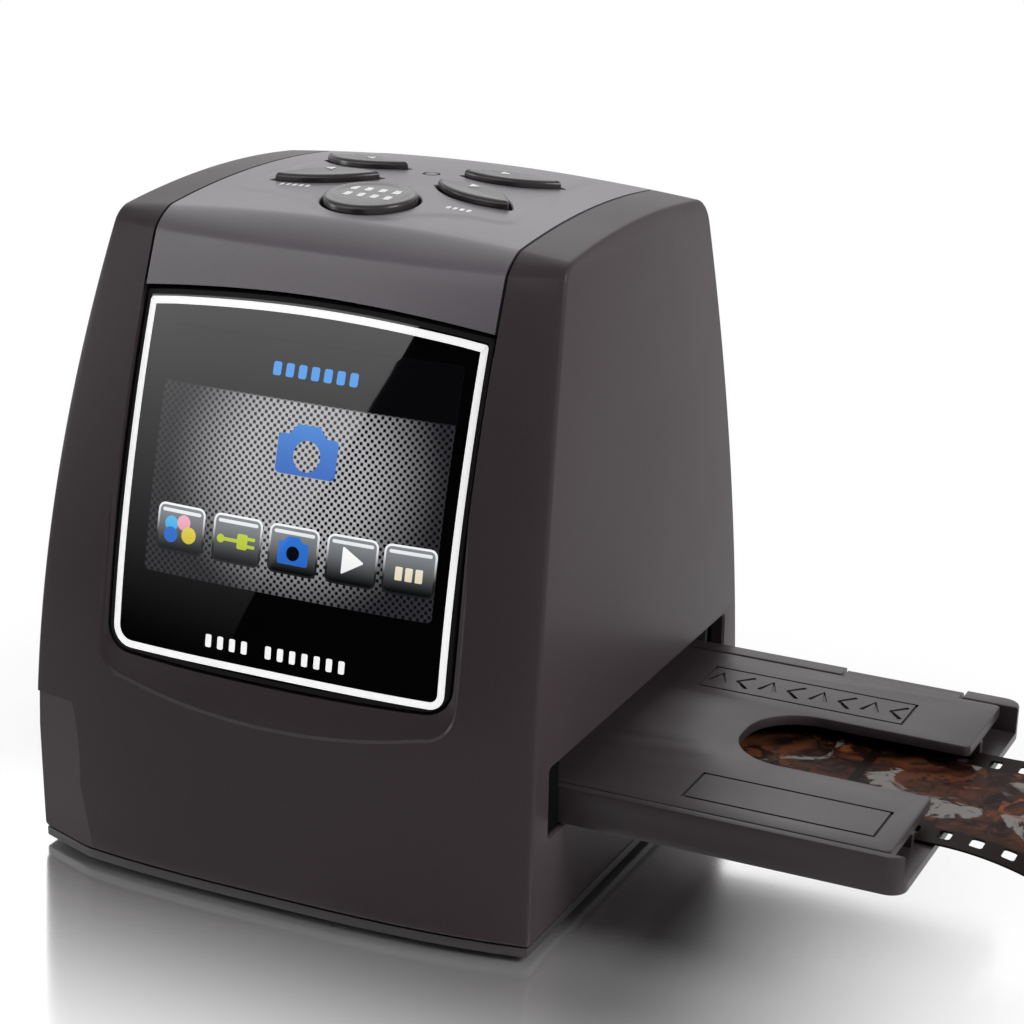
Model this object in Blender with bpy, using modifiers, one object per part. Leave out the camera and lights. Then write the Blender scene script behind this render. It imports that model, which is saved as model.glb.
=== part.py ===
# Film negative scanner: a leaning desktop body with a screen, five top buttons and a slot low in both sides,
# through which a hinged film carrier slides. X is the viewer's right, the screen faces -Y, Z is up.
# The origin is the middle of the base's underside.
import math

import bmesh
import bpy
from mathutils import Matrix, Vector

# Body sizes in metres. They are measured at the body's side edges, without the crown of its faces.
body_width = 0.0838
body_depth = 0.0862
body_height = 0.0995
belly_height = 0.0120
side_draw = 0.0056
front_rake = 0.0176
back_rake = 0.0143
back_curve_power = 1.2
top_fall = 0.0044
top_peak_y = 0.0010
front_bulge = 0.0033
back_bulge = 0.0012
top_bulge = 0.0019
front_bend_radius = 0.0038
back_bend_radius = 0.0048
least_inner_radius = 0.0006
side_edge_radius = 0.0011
wall = 0.0022
gap = 0.0003
overrun = 0.0200
body_columns = 16
body_rows = 11
top_rows = 6
bend_rows = 4

# Left front corner facet, cut by one slanted plane
facet_height = 0.0250
facet_width = 0.0106
facet_depth = 0.0024

# Base
base_flange = 0.0014
base_floor = 0.0026
base_reveal = 0.0004
base_rim_height = 0.0034
base_rim_wall = 0.0016
foot_radius = 0.0045
foot_stand = 0.0010
foot_recess = 0.0010
foot_inset = 0.0095
foot_edge = 0.0004
screw_radius = 0.0012
screw_head_radius = 0.0024
screw_head_height = 0.0010
screw_sink = 0.0003
boss_radius = 0.0036
boss_cap = 0.0012
boss_wall_bite = 0.0005
base_screw_share = 0.56

# Window and screen
window_half_width = 0.0286
window_bottom = 0.0346
window_top_drop = 0.0117
window_arch = 0.0020
window_sag = 0.0006
window_corner_radius = 0.0042
window_steps = 8
corner_steps = 4
scoop_depth = 0.0010
scoop_side = 0.0011
scoop_drop = 0.0042
scoop_sag = 0.0008
lens_thickness = 0.0016
lens_sink = 0.0009
screen_side_margin = 0.0011
screen_top_margin = 0.0011
screen_bottom_margin = 0.0110
lcd_glass = 0.0014
lcd_clearance = 0.0005
tray_wall = 0.0008
tray_floor = 0.0008
tray_foot_height = 0.0016
tray_foot_radius = 0.0015
board_thickness = 0.0016
board_top_margin = 0.0046
board_bottom_margin = 0.0090
board_boss_radius = 0.0021
board_boss_margin = 0.0030
board_screw_radius = 0.0009
board_screw_length = 0.0030
board_screw_head_radius = 0.0018
board_screw_head_height = 0.0009
chip_size = 0.0140
chip_height = 0.0012
chip_rise = 0.0080

# Covers
rear_cover_bottom = 0.0104
rear_cover_top_drop = 0.0159
collar_radius = 0.0106
collar_height = 0.0004

# Buttons
scan_radius = 0.0076
scan_y = -0.0150
button_rise = 0.0013
button_clearance = 0.0004
button_travel = 0.0006
button_edge = 0.0005
edge_steps = 2
button_flange = 0.0009
flange_thickness = 0.0010
flange_gap = 0.0005
stem_radius = 0.0017
side_outer_tip_x = 0.0198
side_outer_tip_y = -0.0086
side_inner_tip_x = 0.0066
side_inner_tip_y = 0.0016
side_button_bulge = 0.0042
side_button_belly = 0.0012
rear_outer_tip_x = 0.0205
rear_outer_tip_y = 0.0098
rear_inner_tip_x = 0.0046
rear_inner_tip_y = 0.0104
rear_button_bulge = 0.0022
rear_button_belly = 0.0036
arc_steps = 7
light_y = 0.0052
light_radius = 0.0011
light_rise = 0.0002
led_size = 0.0028
led_height = 0.0012
switch_size = 0.0060
switch_height = 0.0032
switch_floor = 0.0006
plunger_radius = 0.0016
plunger_margin = 0.0007
button_board_width = 0.0500
button_board_clearance = 0.0016
button_board_back = 0.0170
stem_least = 0.0014
tip_growth_share = 1.5
pillar_radius = 0.0022
pillar_inset = 0.0008

# Slot, guides and light
slot_bottom = 0.0168
slot_height = 0.0106
slot_front = -0.0375
slot_back = 0.0344
guide_floor = 0.0012
guide_wall = 0.0012
guide_roof = 0.0015
guide_end_gap = 0.0006
post_radius = 0.0030
post_x = 0.0275
post_y = 0.0240
frame_length = 0.0360
frame_width = 0.0240
aperture_margin = 0.0008
light_length = 0.0460
light_width = 0.0340
light_wall = 0.0015
light_depth = 0.0080
emitter_size = 0.0060
emitter_height = 0.0012
emitter_margin = 0.0020
diffuser_thickness = 0.0010

# Camera
bracket_size = 0.0400
bracket_plate = 0.0022
bracket_leg = 0.0050
bracket_height = 0.0240
barrel_radius = 0.0078
barrel_bore_radius = 0.0062
barrel_below = 0.0110
barrel_above = 0.0045
barrel_flange = 0.0022
barrel_flange_thickness = 0.0016
glass_edge = 0.0012
glass_bulge = 0.0006
glass_lift = 0.0016
sensor_post_radius = 0.0016
sensor_board_size = 0.0320
sensor_size = 0.0075
sensor_height = 0.0010

# Sockets
io_board_width = 0.0500
io_board_depth = 0.0130
io_post_radius = 0.0022
io_post_height = 0.0018
io_board_inset = 0.0012
usb_x = -0.0130
usb_width = 0.0078
usb_height = 0.0040
usb_depth = 0.0092
usb_wall = 0.0005
usb_tongue = 0.0012
usb_tongue_share = 0.6
socket_recess = 0.0004
card_x = 0.0085
card_width = 0.0270
card_height = 0.0034
card_depth = 0.0120
card_wall = 0.0005
socket_clearance = 0.0006

# Film carrier
carrier_clearance = 0.0003
carrier_half_width = 0.0327
carrier_left = -0.0448
carrier_right = 0.0930
carrier_height = 0.0059
carrier_floor = 0.0016
carrier_wall = 0.0014
carrier_rim = 0.0034
carrier_corner = 0.0028
carrier_left_corner = 0.0012
cover_thickness = 0.0017
cover_corner = 0.0010
cover_end_inset = 0.0026
cover_left_inset = 0.0020
knuckle_radius = 0.0017
hinge_pin_radius = 0.0006
hinge_pin_tail = 0.0060
knuckle_width = 0.0190
knuckle_x = 0.0740
second_knuckle_x = -0.0260
knuckle_notch = 0.0006
cutout_half_width = 0.0102
cutout_end = 0.0580
cutout_round = 0.0090
groove_width = 0.0005
groove_depth = 0.0004
far_label_length = 0.0338
far_label_width = 0.0091
far_label_end_inset = 0.0116
far_label_edge_inset = 0.0063
near_label_length = 0.0290
near_label_width = 0.0094
near_label_end_inset = 0.0034
near_label_edge_inset = 0.0036
film_width = 0.0350
film_thickness = 0.0003
film_rail_width = 0.0016
film_rail_height = 0.0022
film_rib_width = 0.0012
film_rib_inset = 0.0014
film_frames = 4
perforations_a_frame = 8
perforation_pitch = 0.00475
perforation_length = 0.0020
perforation_width = 0.0028
perforation_edge = 0.0020
film_reach = 0.0220
film_droop = 0.0030
film_droop_start = 0.0006

# Ribbon cables
ribbon_thickness = 0.0003
sensor_ribbon_width = 0.0120
button_ribbon_width = 0.0160
ribbon_end = 0.0040
ribbon_loop = 0.0030
ribbon_margin = 0.0010
ribbon_steps = 4

round_sides = 32
small_sides = 12
wide_sides = 44
foot_sides = 20
weld_distance = 0.00001
smooth_angle = 40

# The window and the rear cover hang from the body's top
window_top = body_height - window_top_drop
rear_cover_top = body_height - rear_cover_top_drop

# The slot's pieces hang on these heights
slot_top = slot_bottom + slot_height
carrier_bottom = slot_bottom + carrier_clearance
carrier_top = carrier_bottom + carrier_height
film_bottom = carrier_bottom + carrier_floor + gap
hinge_y = carrier_half_width - carrier_rim / 2
hinge_z = carrier_top - knuckle_radius
guide_bottom = slot_bottom - guide_floor

# Finishes: base colour, roughness and metallic value
charcoal = ((0.105, 0.094, 0.095), 0.55, 0.0)
charcoal_satin = ((0.118, 0.108, 0.112), 0.42, 0.0)
charcoal_dark = ((0.062, 0.057, 0.058), 0.6, 0.0)
carrier_charcoal = ((0.100, 0.090, 0.090), 0.5, 0.0)
button_black = ((0.075, 0.070, 0.071), 0.35, 0.0)
rubber = ((0.02, 0.02, 0.02), 0.85, 0.0)
zinc_steel = ((0.50, 0.50, 0.50), 0.32, 1.0)
tinned_steel = ((0.55, 0.56, 0.57), 0.32, 1.0)
lens_plastic = ((0.10, 0.11, 0.12), 0.08, 0.0)
screen_glass = ((0.03, 0.05, 0.08), 0.2, 0.0)
board_green = ((0.02, 0.16, 0.07), 0.5, 0.0)
board_white = ((0.75, 0.75, 0.72), 0.5, 0.0)
chip_black = ((0.03, 0.03, 0.03), 0.6, 0.0)
inner_black = ((0.05, 0.05, 0.052), 0.6, 0.0)
phosphor = ((0.85, 0.78, 0.30), 0.4, 0.0)
nylon = ((0.70, 0.68, 0.62), 0.4, 0.0)
tinted_acrylic = ((0.12, 0.05, 0.04), 0.15, 0.0)
white_moulding = ((0.85, 0.85, 0.84), 0.5, 0.0)
opal = ((0.92, 0.92, 0.92), 0.3, 0.0)
lens_glass = ((0.60, 0.70, 0.75), 0.05, 0.0)
silicon = ((0.10, 0.16, 0.20), 0.2, 0.0)
negative_film = ((0.22, 0.11, 0.06), 0.15, 0.0)
polyimide = ((0.50, 0.26, 0.06), 0.35, 0.0)

for old in list(bpy.data.objects):
    bpy.data.objects.remove(old)

parts = bpy.data.collections.new("film_negative_scanner")
cutters = bpy.data.collections.new("cutters")
for group in (parts, cutters):
    bpy.context.scene.collection.children.link(group)


def make_material(name, finish):
    colour, roughness, metallic = finish
    material = bpy.data.materials.new(name)
    material.use_nodes = True
    shader = material.node_tree.nodes["Principled BSDF"]
    shader.inputs["Base Color"].default_value = (*colour, 1.0)
    shader.inputs["Roughness"].default_value = roughness
    shader.inputs["Metallic"].default_value = metallic
    return material


def add_object(name, mesh, finish=None):
    # A piece with its finish or, without one, a cutter
    piece = bpy.data.objects.new(name, mesh)
    if finish is None:
        cutters.objects.link(piece)
        piece.hide_render = True
        piece.display_type = "WIRE"
    else:
        parts.objects.link(piece)
        mesh.materials.append(make_material(name, finish))
    return piece


def mesh_from(bm, name, smooth_angle=None):
    bmesh.ops.recalc_face_normals(bm, faces=bm.faces)
    mesh = bpy.data.meshes.new(name)
    bm.to_mesh(mesh)
    bm.free()
    if smooth_angle is not None:
        mesh.shade_smooth()
        mesh.set_sharp_from_angle(angle=math.radians(smooth_angle))
    return mesh


def box_mesh(name, low, high):
    low = Vector(low)
    high = Vector(high)
    bm = bmesh.new()
    size = Matrix.Diagonal((*(high - low), 1))
    bmesh.ops.create_cube(bm, size=1, matrix=Matrix.Translation((low + high) / 2) @ size)
    return mesh_from(bm, name)


def round_mesh(name, radius, low, high, sides=round_sides, turn=Matrix()):
    # A cylinder about Z between two heights, then turned
    bm = bmesh.new()
    bmesh.ops.create_cone(
        bm,
        cap_ends=True,
        segments=sides,
        radius1=radius,
        radius2=radius,
        depth=high - low,
        matrix=turn @ Matrix.Translation((0, 0, (low + high) / 2)),
    )
    return mesh_from(bm, name, smooth_angle)


def outline_mesh(name, outline, low, high, turn=Matrix()):
    # A flat outline as a filled 2D curve, thickened between two heights, then turned
    curve = bpy.data.curves.new(name, "CURVE")
    curve.dimensions = "2D"
    curve.fill_mode = "BOTH"
    curve.extrude = (high - low) / 2
    spline = curve.splines.new("POLY")
    spline.points.add(len(outline) - 1)
    for point, (x, y) in zip(spline.points, outline):
        point.co = (x, y, 0, 1)
    spline.use_cyclic_u = True
    holder = bpy.data.objects.new(name, curve)
    bpy.context.scene.collection.objects.link(holder)
    graph = bpy.context.evaluated_depsgraph_get()
    mesh = bpy.data.meshes.new_from_object(holder.evaluated_get(graph))
    bpy.data.objects.remove(holder)
    bpy.data.curves.remove(curve)
    bm = bmesh.new()
    bm.from_mesh(mesh)
    bpy.data.meshes.remove(mesh)
    bmesh.ops.remove_doubles(bm, verts=bm.verts, dist=weld_distance)
    bmesh.ops.transform(bm, matrix=turn @ Matrix.Translation((0, 0, (low + high) / 2)), verts=bm.verts)
    return mesh_from(bm, name, smooth_angle)


def add_bevel(piece, width, segments=2, angle=smooth_angle):
    bevel = piece.modifiers.new("edges", "BEVEL")
    bevel.width = width
    bevel.segments = segments
    bevel.limit_method = "ANGLE"
    bevel.angle_limit = math.radians(angle)
    bevel.harden_normals = False


def combine(piece, tool, operation="DIFFERENCE"):
    modifier = piece.modifiers.new(tool.name, "BOOLEAN")
    modifier.operation = operation
    modifier.object = tool
    modifier.solver = "EXACT"


def cut_box(piece, name, low, high):
    combine(piece, add_object(name, box_mesh(name, low, high)))


def cut_round(piece, name, radius, low, high, place=(0, 0), sides=small_sides):
    tool = add_object(name, round_mesh(name, radius, low, high, sides))
    tool.location = (*place, 0)
    combine(piece, tool)


def join_round(piece, name, radius, low, high, place=(0, 0), sides=small_sides):
    tool = add_object(name, round_mesh(name, radius, low, high, sides))
    tool.location = (*place, 0)
    combine(piece, tool, "UNION")


def join_box(piece, name, low, high):
    combine(piece, add_object(name, box_mesh(name, low, high)), "UNION")


def lies_in_xz():
    # Stands an outline drawn in X and Z upright, its thickness running along -Y
    return Matrix.Rotation(math.radians(90), 4, "X")


# Body form: the side view is a profile of four curves, and each face crowns between the sides
def rise_share(z):
    return max(0.0, z - belly_height) / (body_height - belly_height)


def side_line(z):
    return body_width / 2 - side_draw * rise_share(z) ** 2


def front_line(z):
    return -body_depth / 2 + front_rake * rise_share(z) ** 2


def back_line(z):
    return body_depth / 2 - back_rake * (max(0.0, z) / body_height) ** back_curve_power


def top_line(y):
    return body_height - top_fall * ((y - top_peak_y) / (body_depth / 2)) ** 2


def front_crown(q):
    return front_bulge * (1 - abs(q) ** 3)


def top_crown(q):
    return top_bulge * (1 - q**2)


def back_crown(q):
    return back_bulge * (1 - q**2)


def front_surface(x, z):
    return front_line(z) - front_crown(x / side_line(z))


def back_surface(x, z):
    return back_line(z) + back_crown(x / side_line(z))


def top_surface(x, y):
    return top_line(y) + top_crown(x / side_line(body_height))


# The screen fills the window and leans as the front does there
lcd_low = window_bottom + screen_bottom_margin
lcd_high = window_top - screen_top_margin
lean = math.atan2(front_line(lcd_high) - front_line(lcd_low), lcd_high - lcd_low)
screen_centre_z = (lcd_low + lcd_high) / 2
lcd_height = (lcd_high - lcd_low) / math.cos(lean)
lcd_width = 2 * (window_half_width - screen_side_margin)
board_bottom = -lcd_height / 2 - board_bottom_margin
board_top = lcd_height / 2 + board_top_margin


def corner_of(line, inset, inward):
    # Where the front or back line meets the top line, both moved in by the inset
    z = body_height
    for _ in range(20):
        y = line(z) + inward * inset
        z = top_line(y) - inset
    return Vector((y, z))


def direction(start, end):
    return (end - start).normalized()


def bend(corner, before, after, radius):
    # The arc that rounds a corner between two directions
    turn = before.angle(after)
    reach = radius * math.tan(turn / 2)
    start = corner - before * reach
    side = Vector((-before.y, before.x))
    if side.dot(after) < 0:
        side = -side
    centre = start + side * radius
    sign = 1 if before.x * after.y - before.y * after.x > 0 else -1
    points = []
    for step in range(bend_rows + 1):
        share = step / bend_rows
        arm = Matrix.Rotation(sign * turn * share, 2) @ (start - centre)
        points.append((centre + arm, share))
    return points


def body_profile(inset, bottom):
    # (y, z, front share, top share, back share) from the front foot over the top to the back foot
    front_corner = corner_of(front_line, inset, 1)
    back_corner = corner_of(back_line, inset, -1)
    front_up = direction(
        Vector((front_line(front_corner.y - wall), front_corner.y - wall)),
        Vector((front_line(front_corner.y), front_corner.y)),
    )
    top_start = direction(
        Vector((front_corner.x, top_line(front_corner.x))),
        Vector((front_corner.x + wall, top_line(front_corner.x + wall))),
    )
    top_end = direction(
        Vector((back_corner.x - wall, top_line(back_corner.x - wall))),
        Vector((back_corner.x, top_line(back_corner.x))),
    )
    back_down = direction(
        Vector((back_line(back_corner.y), back_corner.y)),
        Vector((back_line(back_corner.y - wall), back_corner.y - wall)),
    )
    front_radius = max(front_bend_radius - inset, least_inner_radius)
    back_radius = max(back_bend_radius - inset, least_inner_radius)
    front_bend = bend(front_corner, front_up, top_start, front_radius)
    back_bend = bend(back_corner, top_end, back_down, back_radius)
    shoulder = min(front_bend[0][0].y, back_bend[-1][0].y) - least_inner_radius
    levels = [bottom + (shoulder - bottom) * row / body_rows for row in range(body_rows + 1)]
    profile = [(front_line(z) + inset, z, 1, 0, 0) for z in levels]
    for point, share in front_bend:
        facing = math.cos(share * math.pi / 2) ** 2
        profile.append((point.x, point.y, facing, 1 - facing, 0))
    start = front_bend[-1][0].x
    end = back_bend[0][0].x
    for row in range(1, top_rows):
        y = start + (end - start) * row / top_rows
        profile.append((y, top_line(y) - inset, 0, 1, 0))
    for point, share in back_bend:
        facing = math.cos(share * math.pi / 2) ** 2
        profile.append((point.x, point.y, 0, facing, 1 - facing))
    profile += [(back_line(z) - inset, z, 0, 0, 1) for z in reversed(levels)]
    return profile


def body_mesh(name, inset=0.0, bottom=0.0):
    # The closed body, moved in by the inset: the profile lofted across the columns, with sides and a floor
    profile = body_profile(inset, bottom)
    bm = bmesh.new()
    grid = []
    for y, z, front, top, back in profile:
        half = side_line(z) - inset
        row = []
        for column in range(body_columns + 1):
            q = 2 * column / body_columns - 1
            row.append(
                bm.verts.new(
                    (
                        q * half,
                        y - front * front_crown(q) + back * back_crown(q),
                        z + top * top_crown(q),
                    )
                )
            )
        grid.append(row)
    for lower, upper in zip(grid, grid[1:]):
        for column in range(body_columns):
            bm.faces.new(
                (lower[column], lower[column + 1], upper[column + 1], upper[column])
            )
    last = len(grid) - 1
    for column in (0, body_columns):
        for row in range(body_rows):
            bm.faces.new(
                (
                    grid[row][column],
                    grid[row + 1][column],
                    grid[last - row - 1][column],
                    grid[last - row][column],
                )
            )
        bm.faces.new([grid[row][column] for row in range(body_rows, last - body_rows + 1)])
    bm.faces.new(grid[0] + list(reversed(grid[last])))
    return mesh_from(bm, name, 30)


def body_section(inset, z=0.0):
    # The body's outline at one height, moved in by the inset
    half = side_line(z) - inset
    shares = [2 * column / body_columns - 1 for column in range(body_columns + 1)]
    front = [(q * half, front_line(z) + inset - front_crown(q)) for q in shares]
    back = [(q * half, back_line(z) - inset + back_crown(q)) for q in reversed(shares)]
    return front + back


inner_body = add_object("inner_body", body_mesh("inner_body", wall, -overrun))


def shell_piece(name, finish):
    piece = add_object(name, body_mesh(name, 0, base_flange + gap), finish)
    add_bevel(piece, side_edge_radius, 2, 50)
    combine(piece, inner_body)
    return piece


def arc_points(start, end, bulge, steps):
    # Points from start to end on a parabola whose middle stands out by the bulge, to the left of travel
    start = Vector(start)
    end = Vector(end)
    along = end - start
    out = Vector((-along.y, along.x)).normalized()
    points = []
    for step in range(steps + 1):
        share = step / steps
        points.append(start + along * share + out * bulge * 4 * share * (1 - share))
    return points


def window_outline(grow, top, drop=0.0, sag=0.0):
    # Window shape in X and Z: bowed foot, round lower corners, sides up to the given top
    half = window_half_width + grow
    radius = window_corner_radius + grow
    foot = window_bottom - grow - drop
    outline = []
    for share in (step / corner_steps for step in range(corner_steps + 1)):
        angle = math.pi + share * math.pi / 2
        outline.append((radius - half + radius * math.cos(angle), foot + radius + radius * math.sin(angle)))
    run = half - radius
    for step in range(1, window_steps):
        x = -run + 2 * run * step / window_steps
        outline.append((x, foot - (window_sag + sag) * (1 - (x / run) ** 2)))
    for share in (step / corner_steps for step in range(corner_steps + 1)):
        angle = -math.pi / 2 + share * math.pi / 2
        outline.append((half - radius + radius * math.cos(angle), foot + radius + radius * math.sin(angle)))
    outline.append((half, top))
    outline.append((-half, top))
    return outline


def scoop_mesh(name):
    # The sloping recess round the window: from a lip on the surface down to the window's edge
    reach = body_height + overrun
    lip = window_outline(scoop_side, reach, scoop_drop, scoop_sag)
    edge = window_outline(0.0, reach + overrun)
    far = -body_depth
    bm = bmesh.new()

    def loop(outline, depth):
        return [
            bm.verts.new((x, far if depth is None else front_surface(x, min(z, window_top)) + depth, z))
            for x, z in outline
        ]

    loops = [loop(lip, None), loop(lip, 0.0), loop(edge, scoop_depth)]
    for one, two in zip(loops, loops[1:]):
        for index in range(len(one)):
            after = (index + 1) % len(one)
            bm.faces.new((one[index], one[after], two[after], two[index]))
    bm.faces.new(loops[0])
    bm.faces.new(loops[-1])
    return mesh_from(bm, name)


# Housing: front chin, both sides and the strip below the rear cover
housing = shell_piece("housing", charcoal)
facet = add_object(
    "corner_facet_cut",
    box_mesh("corner_facet_cut", (-overrun, -overrun, -overrun), (overrun, 0, overrun)),
)
facet_base_x = facet_width - body_width / 2
facet_base = Vector((facet_base_x, front_surface(facet_base_x, 0), 0))
facet_corner = Vector((-body_width / 2, front_line(0) + facet_depth, 0))
facet_peak = Vector((-side_line(facet_height), front_line(facet_height), facet_height))
facet_normal = (facet_corner - facet_base).cross(facet_peak - facet_base).normalized()
if facet_normal.y > 0:
    facet_normal = -facet_normal
facet.rotation_mode = "QUATERNION"
facet.rotation_quaternion = Vector((0, -1, 0)).rotation_difference(facet_normal)
facet.location = (facet_base + facet_corner + facet_peak) / 3
combine(housing, facet)
scoop = add_object("scoop_cut", scoop_mesh("scoop_cut"))
combine(housing, scoop)
window_cut = add_object(
    "window_cut",
    outline_mesh("window_cut", window_outline(0.0, body_height + overrun), 0, body_depth, lies_in_xz()),
)
combine(housing, window_cut)
cut_box(
    housing,
    "rear_strip_cut",
    (-window_half_width, -overrun, rear_cover_bottom),
    (window_half_width, body_depth, body_height + overrun),
)
cut_box(
    housing,
    "slot_cut",
    (-body_width, slot_front, slot_bottom),
    (body_width, slot_back, slot_top),
)

# Base screws go up through the base into bosses on the housing's side walls
boss_x = body_width / 2 - wall - boss_radius + boss_wall_bite
boss_y = body_depth / 2 * base_screw_share
boss_places = [(x, y) for x in (-boss_x, boss_x) for y in (-boss_y, boss_y)]
corner_names = ("left_front", "left_back", "right_front", "right_back")
boss_bottom = base_floor + gap
boss_top = guide_bottom - gap
screw_reach = boss_top - boss_cap
for place, corner in zip(boss_places, corner_names):
    join_round(housing, "boss_" + corner, boss_radius, boss_bottom, boss_top, place)
for place, corner in zip(boss_places, corner_names):
    bore = screw_radius + gap
    cut_round(housing, "boss_hole_" + corner, bore, -overrun, screw_reach + gap, place)

# Base cover: a thin flange under the housing's edge, a floor inside it and a locating rim
base_cover = add_object(
    "base_cover",
    outline_mesh("base_cover", body_section(base_reveal), 0, base_flange),
    charcoal_dark,
)
inside = wall + gap
rim_top = base_floor + base_rim_height
rim_section = body_section(inside, rim_top)
floor_step = outline_mesh("base_floor_step", rim_section, gap, base_floor)
floor_tool = add_object("base_floor_step", floor_step)
combine(base_cover, floor_tool, "UNION")
rim_tool = add_object("base_rim", outline_mesh("base_rim", rim_section, base_flange, rim_top))
rim_inside = body_section(inside + base_rim_wall, rim_top)
rim_void = outline_mesh("base_rim_hole", rim_inside, base_floor, rim_top + overrun)
rim_hole = add_object("base_rim_hole", rim_void)
combine(base_cover, rim_tool, "UNION")
combine(base_cover, rim_hole)
foot_x = body_width / 2 - foot_inset
foot_y = body_depth / 2 - foot_inset
foot_places = [(x, y) for x in (-foot_x, foot_x) for y in (-foot_y, foot_y)]
for place, corner in zip(foot_places, corner_names):
    recess = foot_radius + gap
    cut_round(base_cover, "foot_recess_" + corner, recess, -overrun, foot_recess, place, foot_sides)
for place, corner in zip(boss_places, corner_names):
    cut_round(base_cover, "boss_gap_" + corner, boss_radius + gap, base_floor, rim_top + overrun, place)
    cut_round(base_cover, "screw_hole_" + corner, screw_radius + gap, -overrun, base_floor + gap, place)
    head_room = screw_sink + screw_head_height + gap
    cut_round(base_cover, "head_hole_" + corner, screw_head_radius + gap, -overrun, head_room, place)
post_places = [(x, y) for x in (-post_x, post_x) for y in (-post_y, post_y)]
for place, corner in zip(post_places, corner_names):
    join_round(base_cover, "guide_post_" + corner, post_radius, base_floor - gap, guide_bottom - gap, place)

# Feet and base screws
for place, corner in zip(foot_places, corner_names):
    foot = add_object(
        "foot_" + corner,
        round_mesh("foot_" + corner, foot_radius, -foot_stand, foot_recess - gap, foot_sides),
        rubber,
    )
    foot.location = (*place, 0)
    add_bevel(foot, foot_edge, 1)
for place, corner in zip(boss_places, corner_names):
    screw = add_object(
        "base_screw_" + corner,
        round_mesh("base_screw_" + corner, screw_radius, screw_sink, screw_reach, small_sides),
        zinc_steel,
    )
    screw.location = (*place, 0)
    head_top = screw_sink + screw_head_height
    head = add_object(
        "screw_head_" + corner,
        round_mesh("screw_head_" + corner, screw_head_radius, screw_sink, head_top, small_sides),
    )
    head.location = (*place, 0)
    combine(screw, head, "UNION")
    slot_long = screw_head_radius / 2
    slot_narrow = screw_radius / 4
    slot_depth = screw_sink + screw_head_height / 2
    for name, x, y in (("slot_a_", slot_long, slot_narrow), ("slot_b_", slot_narrow, slot_long)):
        label = name + corner
        tool = add_object(label, box_mesh(label, (-x, -y, 0), (x, y, slot_depth)))
        tool.location = (*place, 0)
        combine(screw, tool)

# Top cover: the middle strip from the window over the top, with the button holes
top_cover = shell_piece("top_cover", charcoal_satin)
strip_half = window_half_width - gap
keep = add_object(
    "top_strip",
    box_mesh(
        "top_strip",
        (-strip_half, -body_depth, window_top - overrun),
        (strip_half, body_depth, body_height + overrun),
    ),
)
collar = add_object(
    "collar_height",
    body_mesh("collar_height", -collar_height, body_height - overrun),
)
collar_disc = add_object(
    "collar",
    round_mesh("collar", collar_radius, body_height - wall, body_height + overrun, wide_sides),
)
collar_disc.location = (0, scan_y, 0)
combine(collar_disc, collar, "INTERSECT")
combine(top_cover, collar_disc, "UNION")
combine(top_cover, keep, "INTERSECT")


def below_arch(name, grow):
    # Everything in front and under the window's arched top edge
    half = body_width / 2
    arch = []
    for step in range(window_steps + 1):
        x = half - body_width * step / window_steps
        arch.append((x, window_top + grow + window_arch * (1 - (x / window_half_width) ** 2)))
    outline = [(-half, 0), (half, 0)] + arch
    return add_object(name, outline_mesh(name, outline, 0, body_depth, lies_in_xz()))


combine(top_cover, below_arch("top_cover_front_edge", gap))
cut_box(
    top_cover,
    "top_cover_back_edge",
    (-body_width, 0, 0),
    (body_width, body_depth, rear_cover_top + gap),
)

# Window lens: clear plastic that follows the front, sunk behind its surface
lens = add_object(
    "window_lens",
    outline_mesh("window_lens", window_outline(-gap, body_height), 0, body_depth, lies_in_xz()),
    lens_plastic,
)
combine(lens, add_object("lens_face", body_mesh("lens_face", lens_sink, -overrun)), "INTERSECT")
combine(lens, add_object("lens_back", body_mesh("lens_back", lens_sink + lens_thickness, -overrun)))
combine(lens, below_arch("lens_top_edge", 0), "INTERSECT")

# The screen and its board lean back together on one frame. Its Y runs into the body and its Z up the screen
tray_half_width = lcd_width / 2 + gap + tray_wall
tray_half_height = lcd_height / 2 + gap + tray_wall
corner_levels = [screen_centre_z + side * tray_half_height * math.cos(lean) for side in (-1, 1)]
screen_y = max(
    front_surface(tray_half_width, level)
    + lens_sink
    + lens_thickness
    + lcd_clearance
    - (level - screen_centre_z) * math.tan(lean)
    for level in corner_levels
)
screen_frame = bpy.data.objects.new("screen_frame", None)
screen_frame.location = (0, screen_y, screen_centre_z)
screen_frame.rotation_euler = (-lean, 0, 0)
parts.objects.link(screen_frame)
along_y = Matrix.Rotation(math.radians(-90), 4, "X")
along_x = Matrix.Rotation(math.radians(90), 4, "Y")


def on_screen(piece, x=0, y=0, z=0):
    piece.parent = screen_frame
    piece.location = (x, y, z)
    return piece


def screen_box(name, half_width, front, back, bottom, top, *finish):
    mesh = box_mesh(name, (-half_width, front, bottom), (half_width, back, top))
    return on_screen(add_object(name, mesh, *finish))


def screen_pin(name, radius, front, back, x, z, *finish):
    mesh = round_mesh(name, radius, front, back, small_sides, along_y)
    return on_screen(add_object(name, mesh, *finish), x, 0, z)


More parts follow.
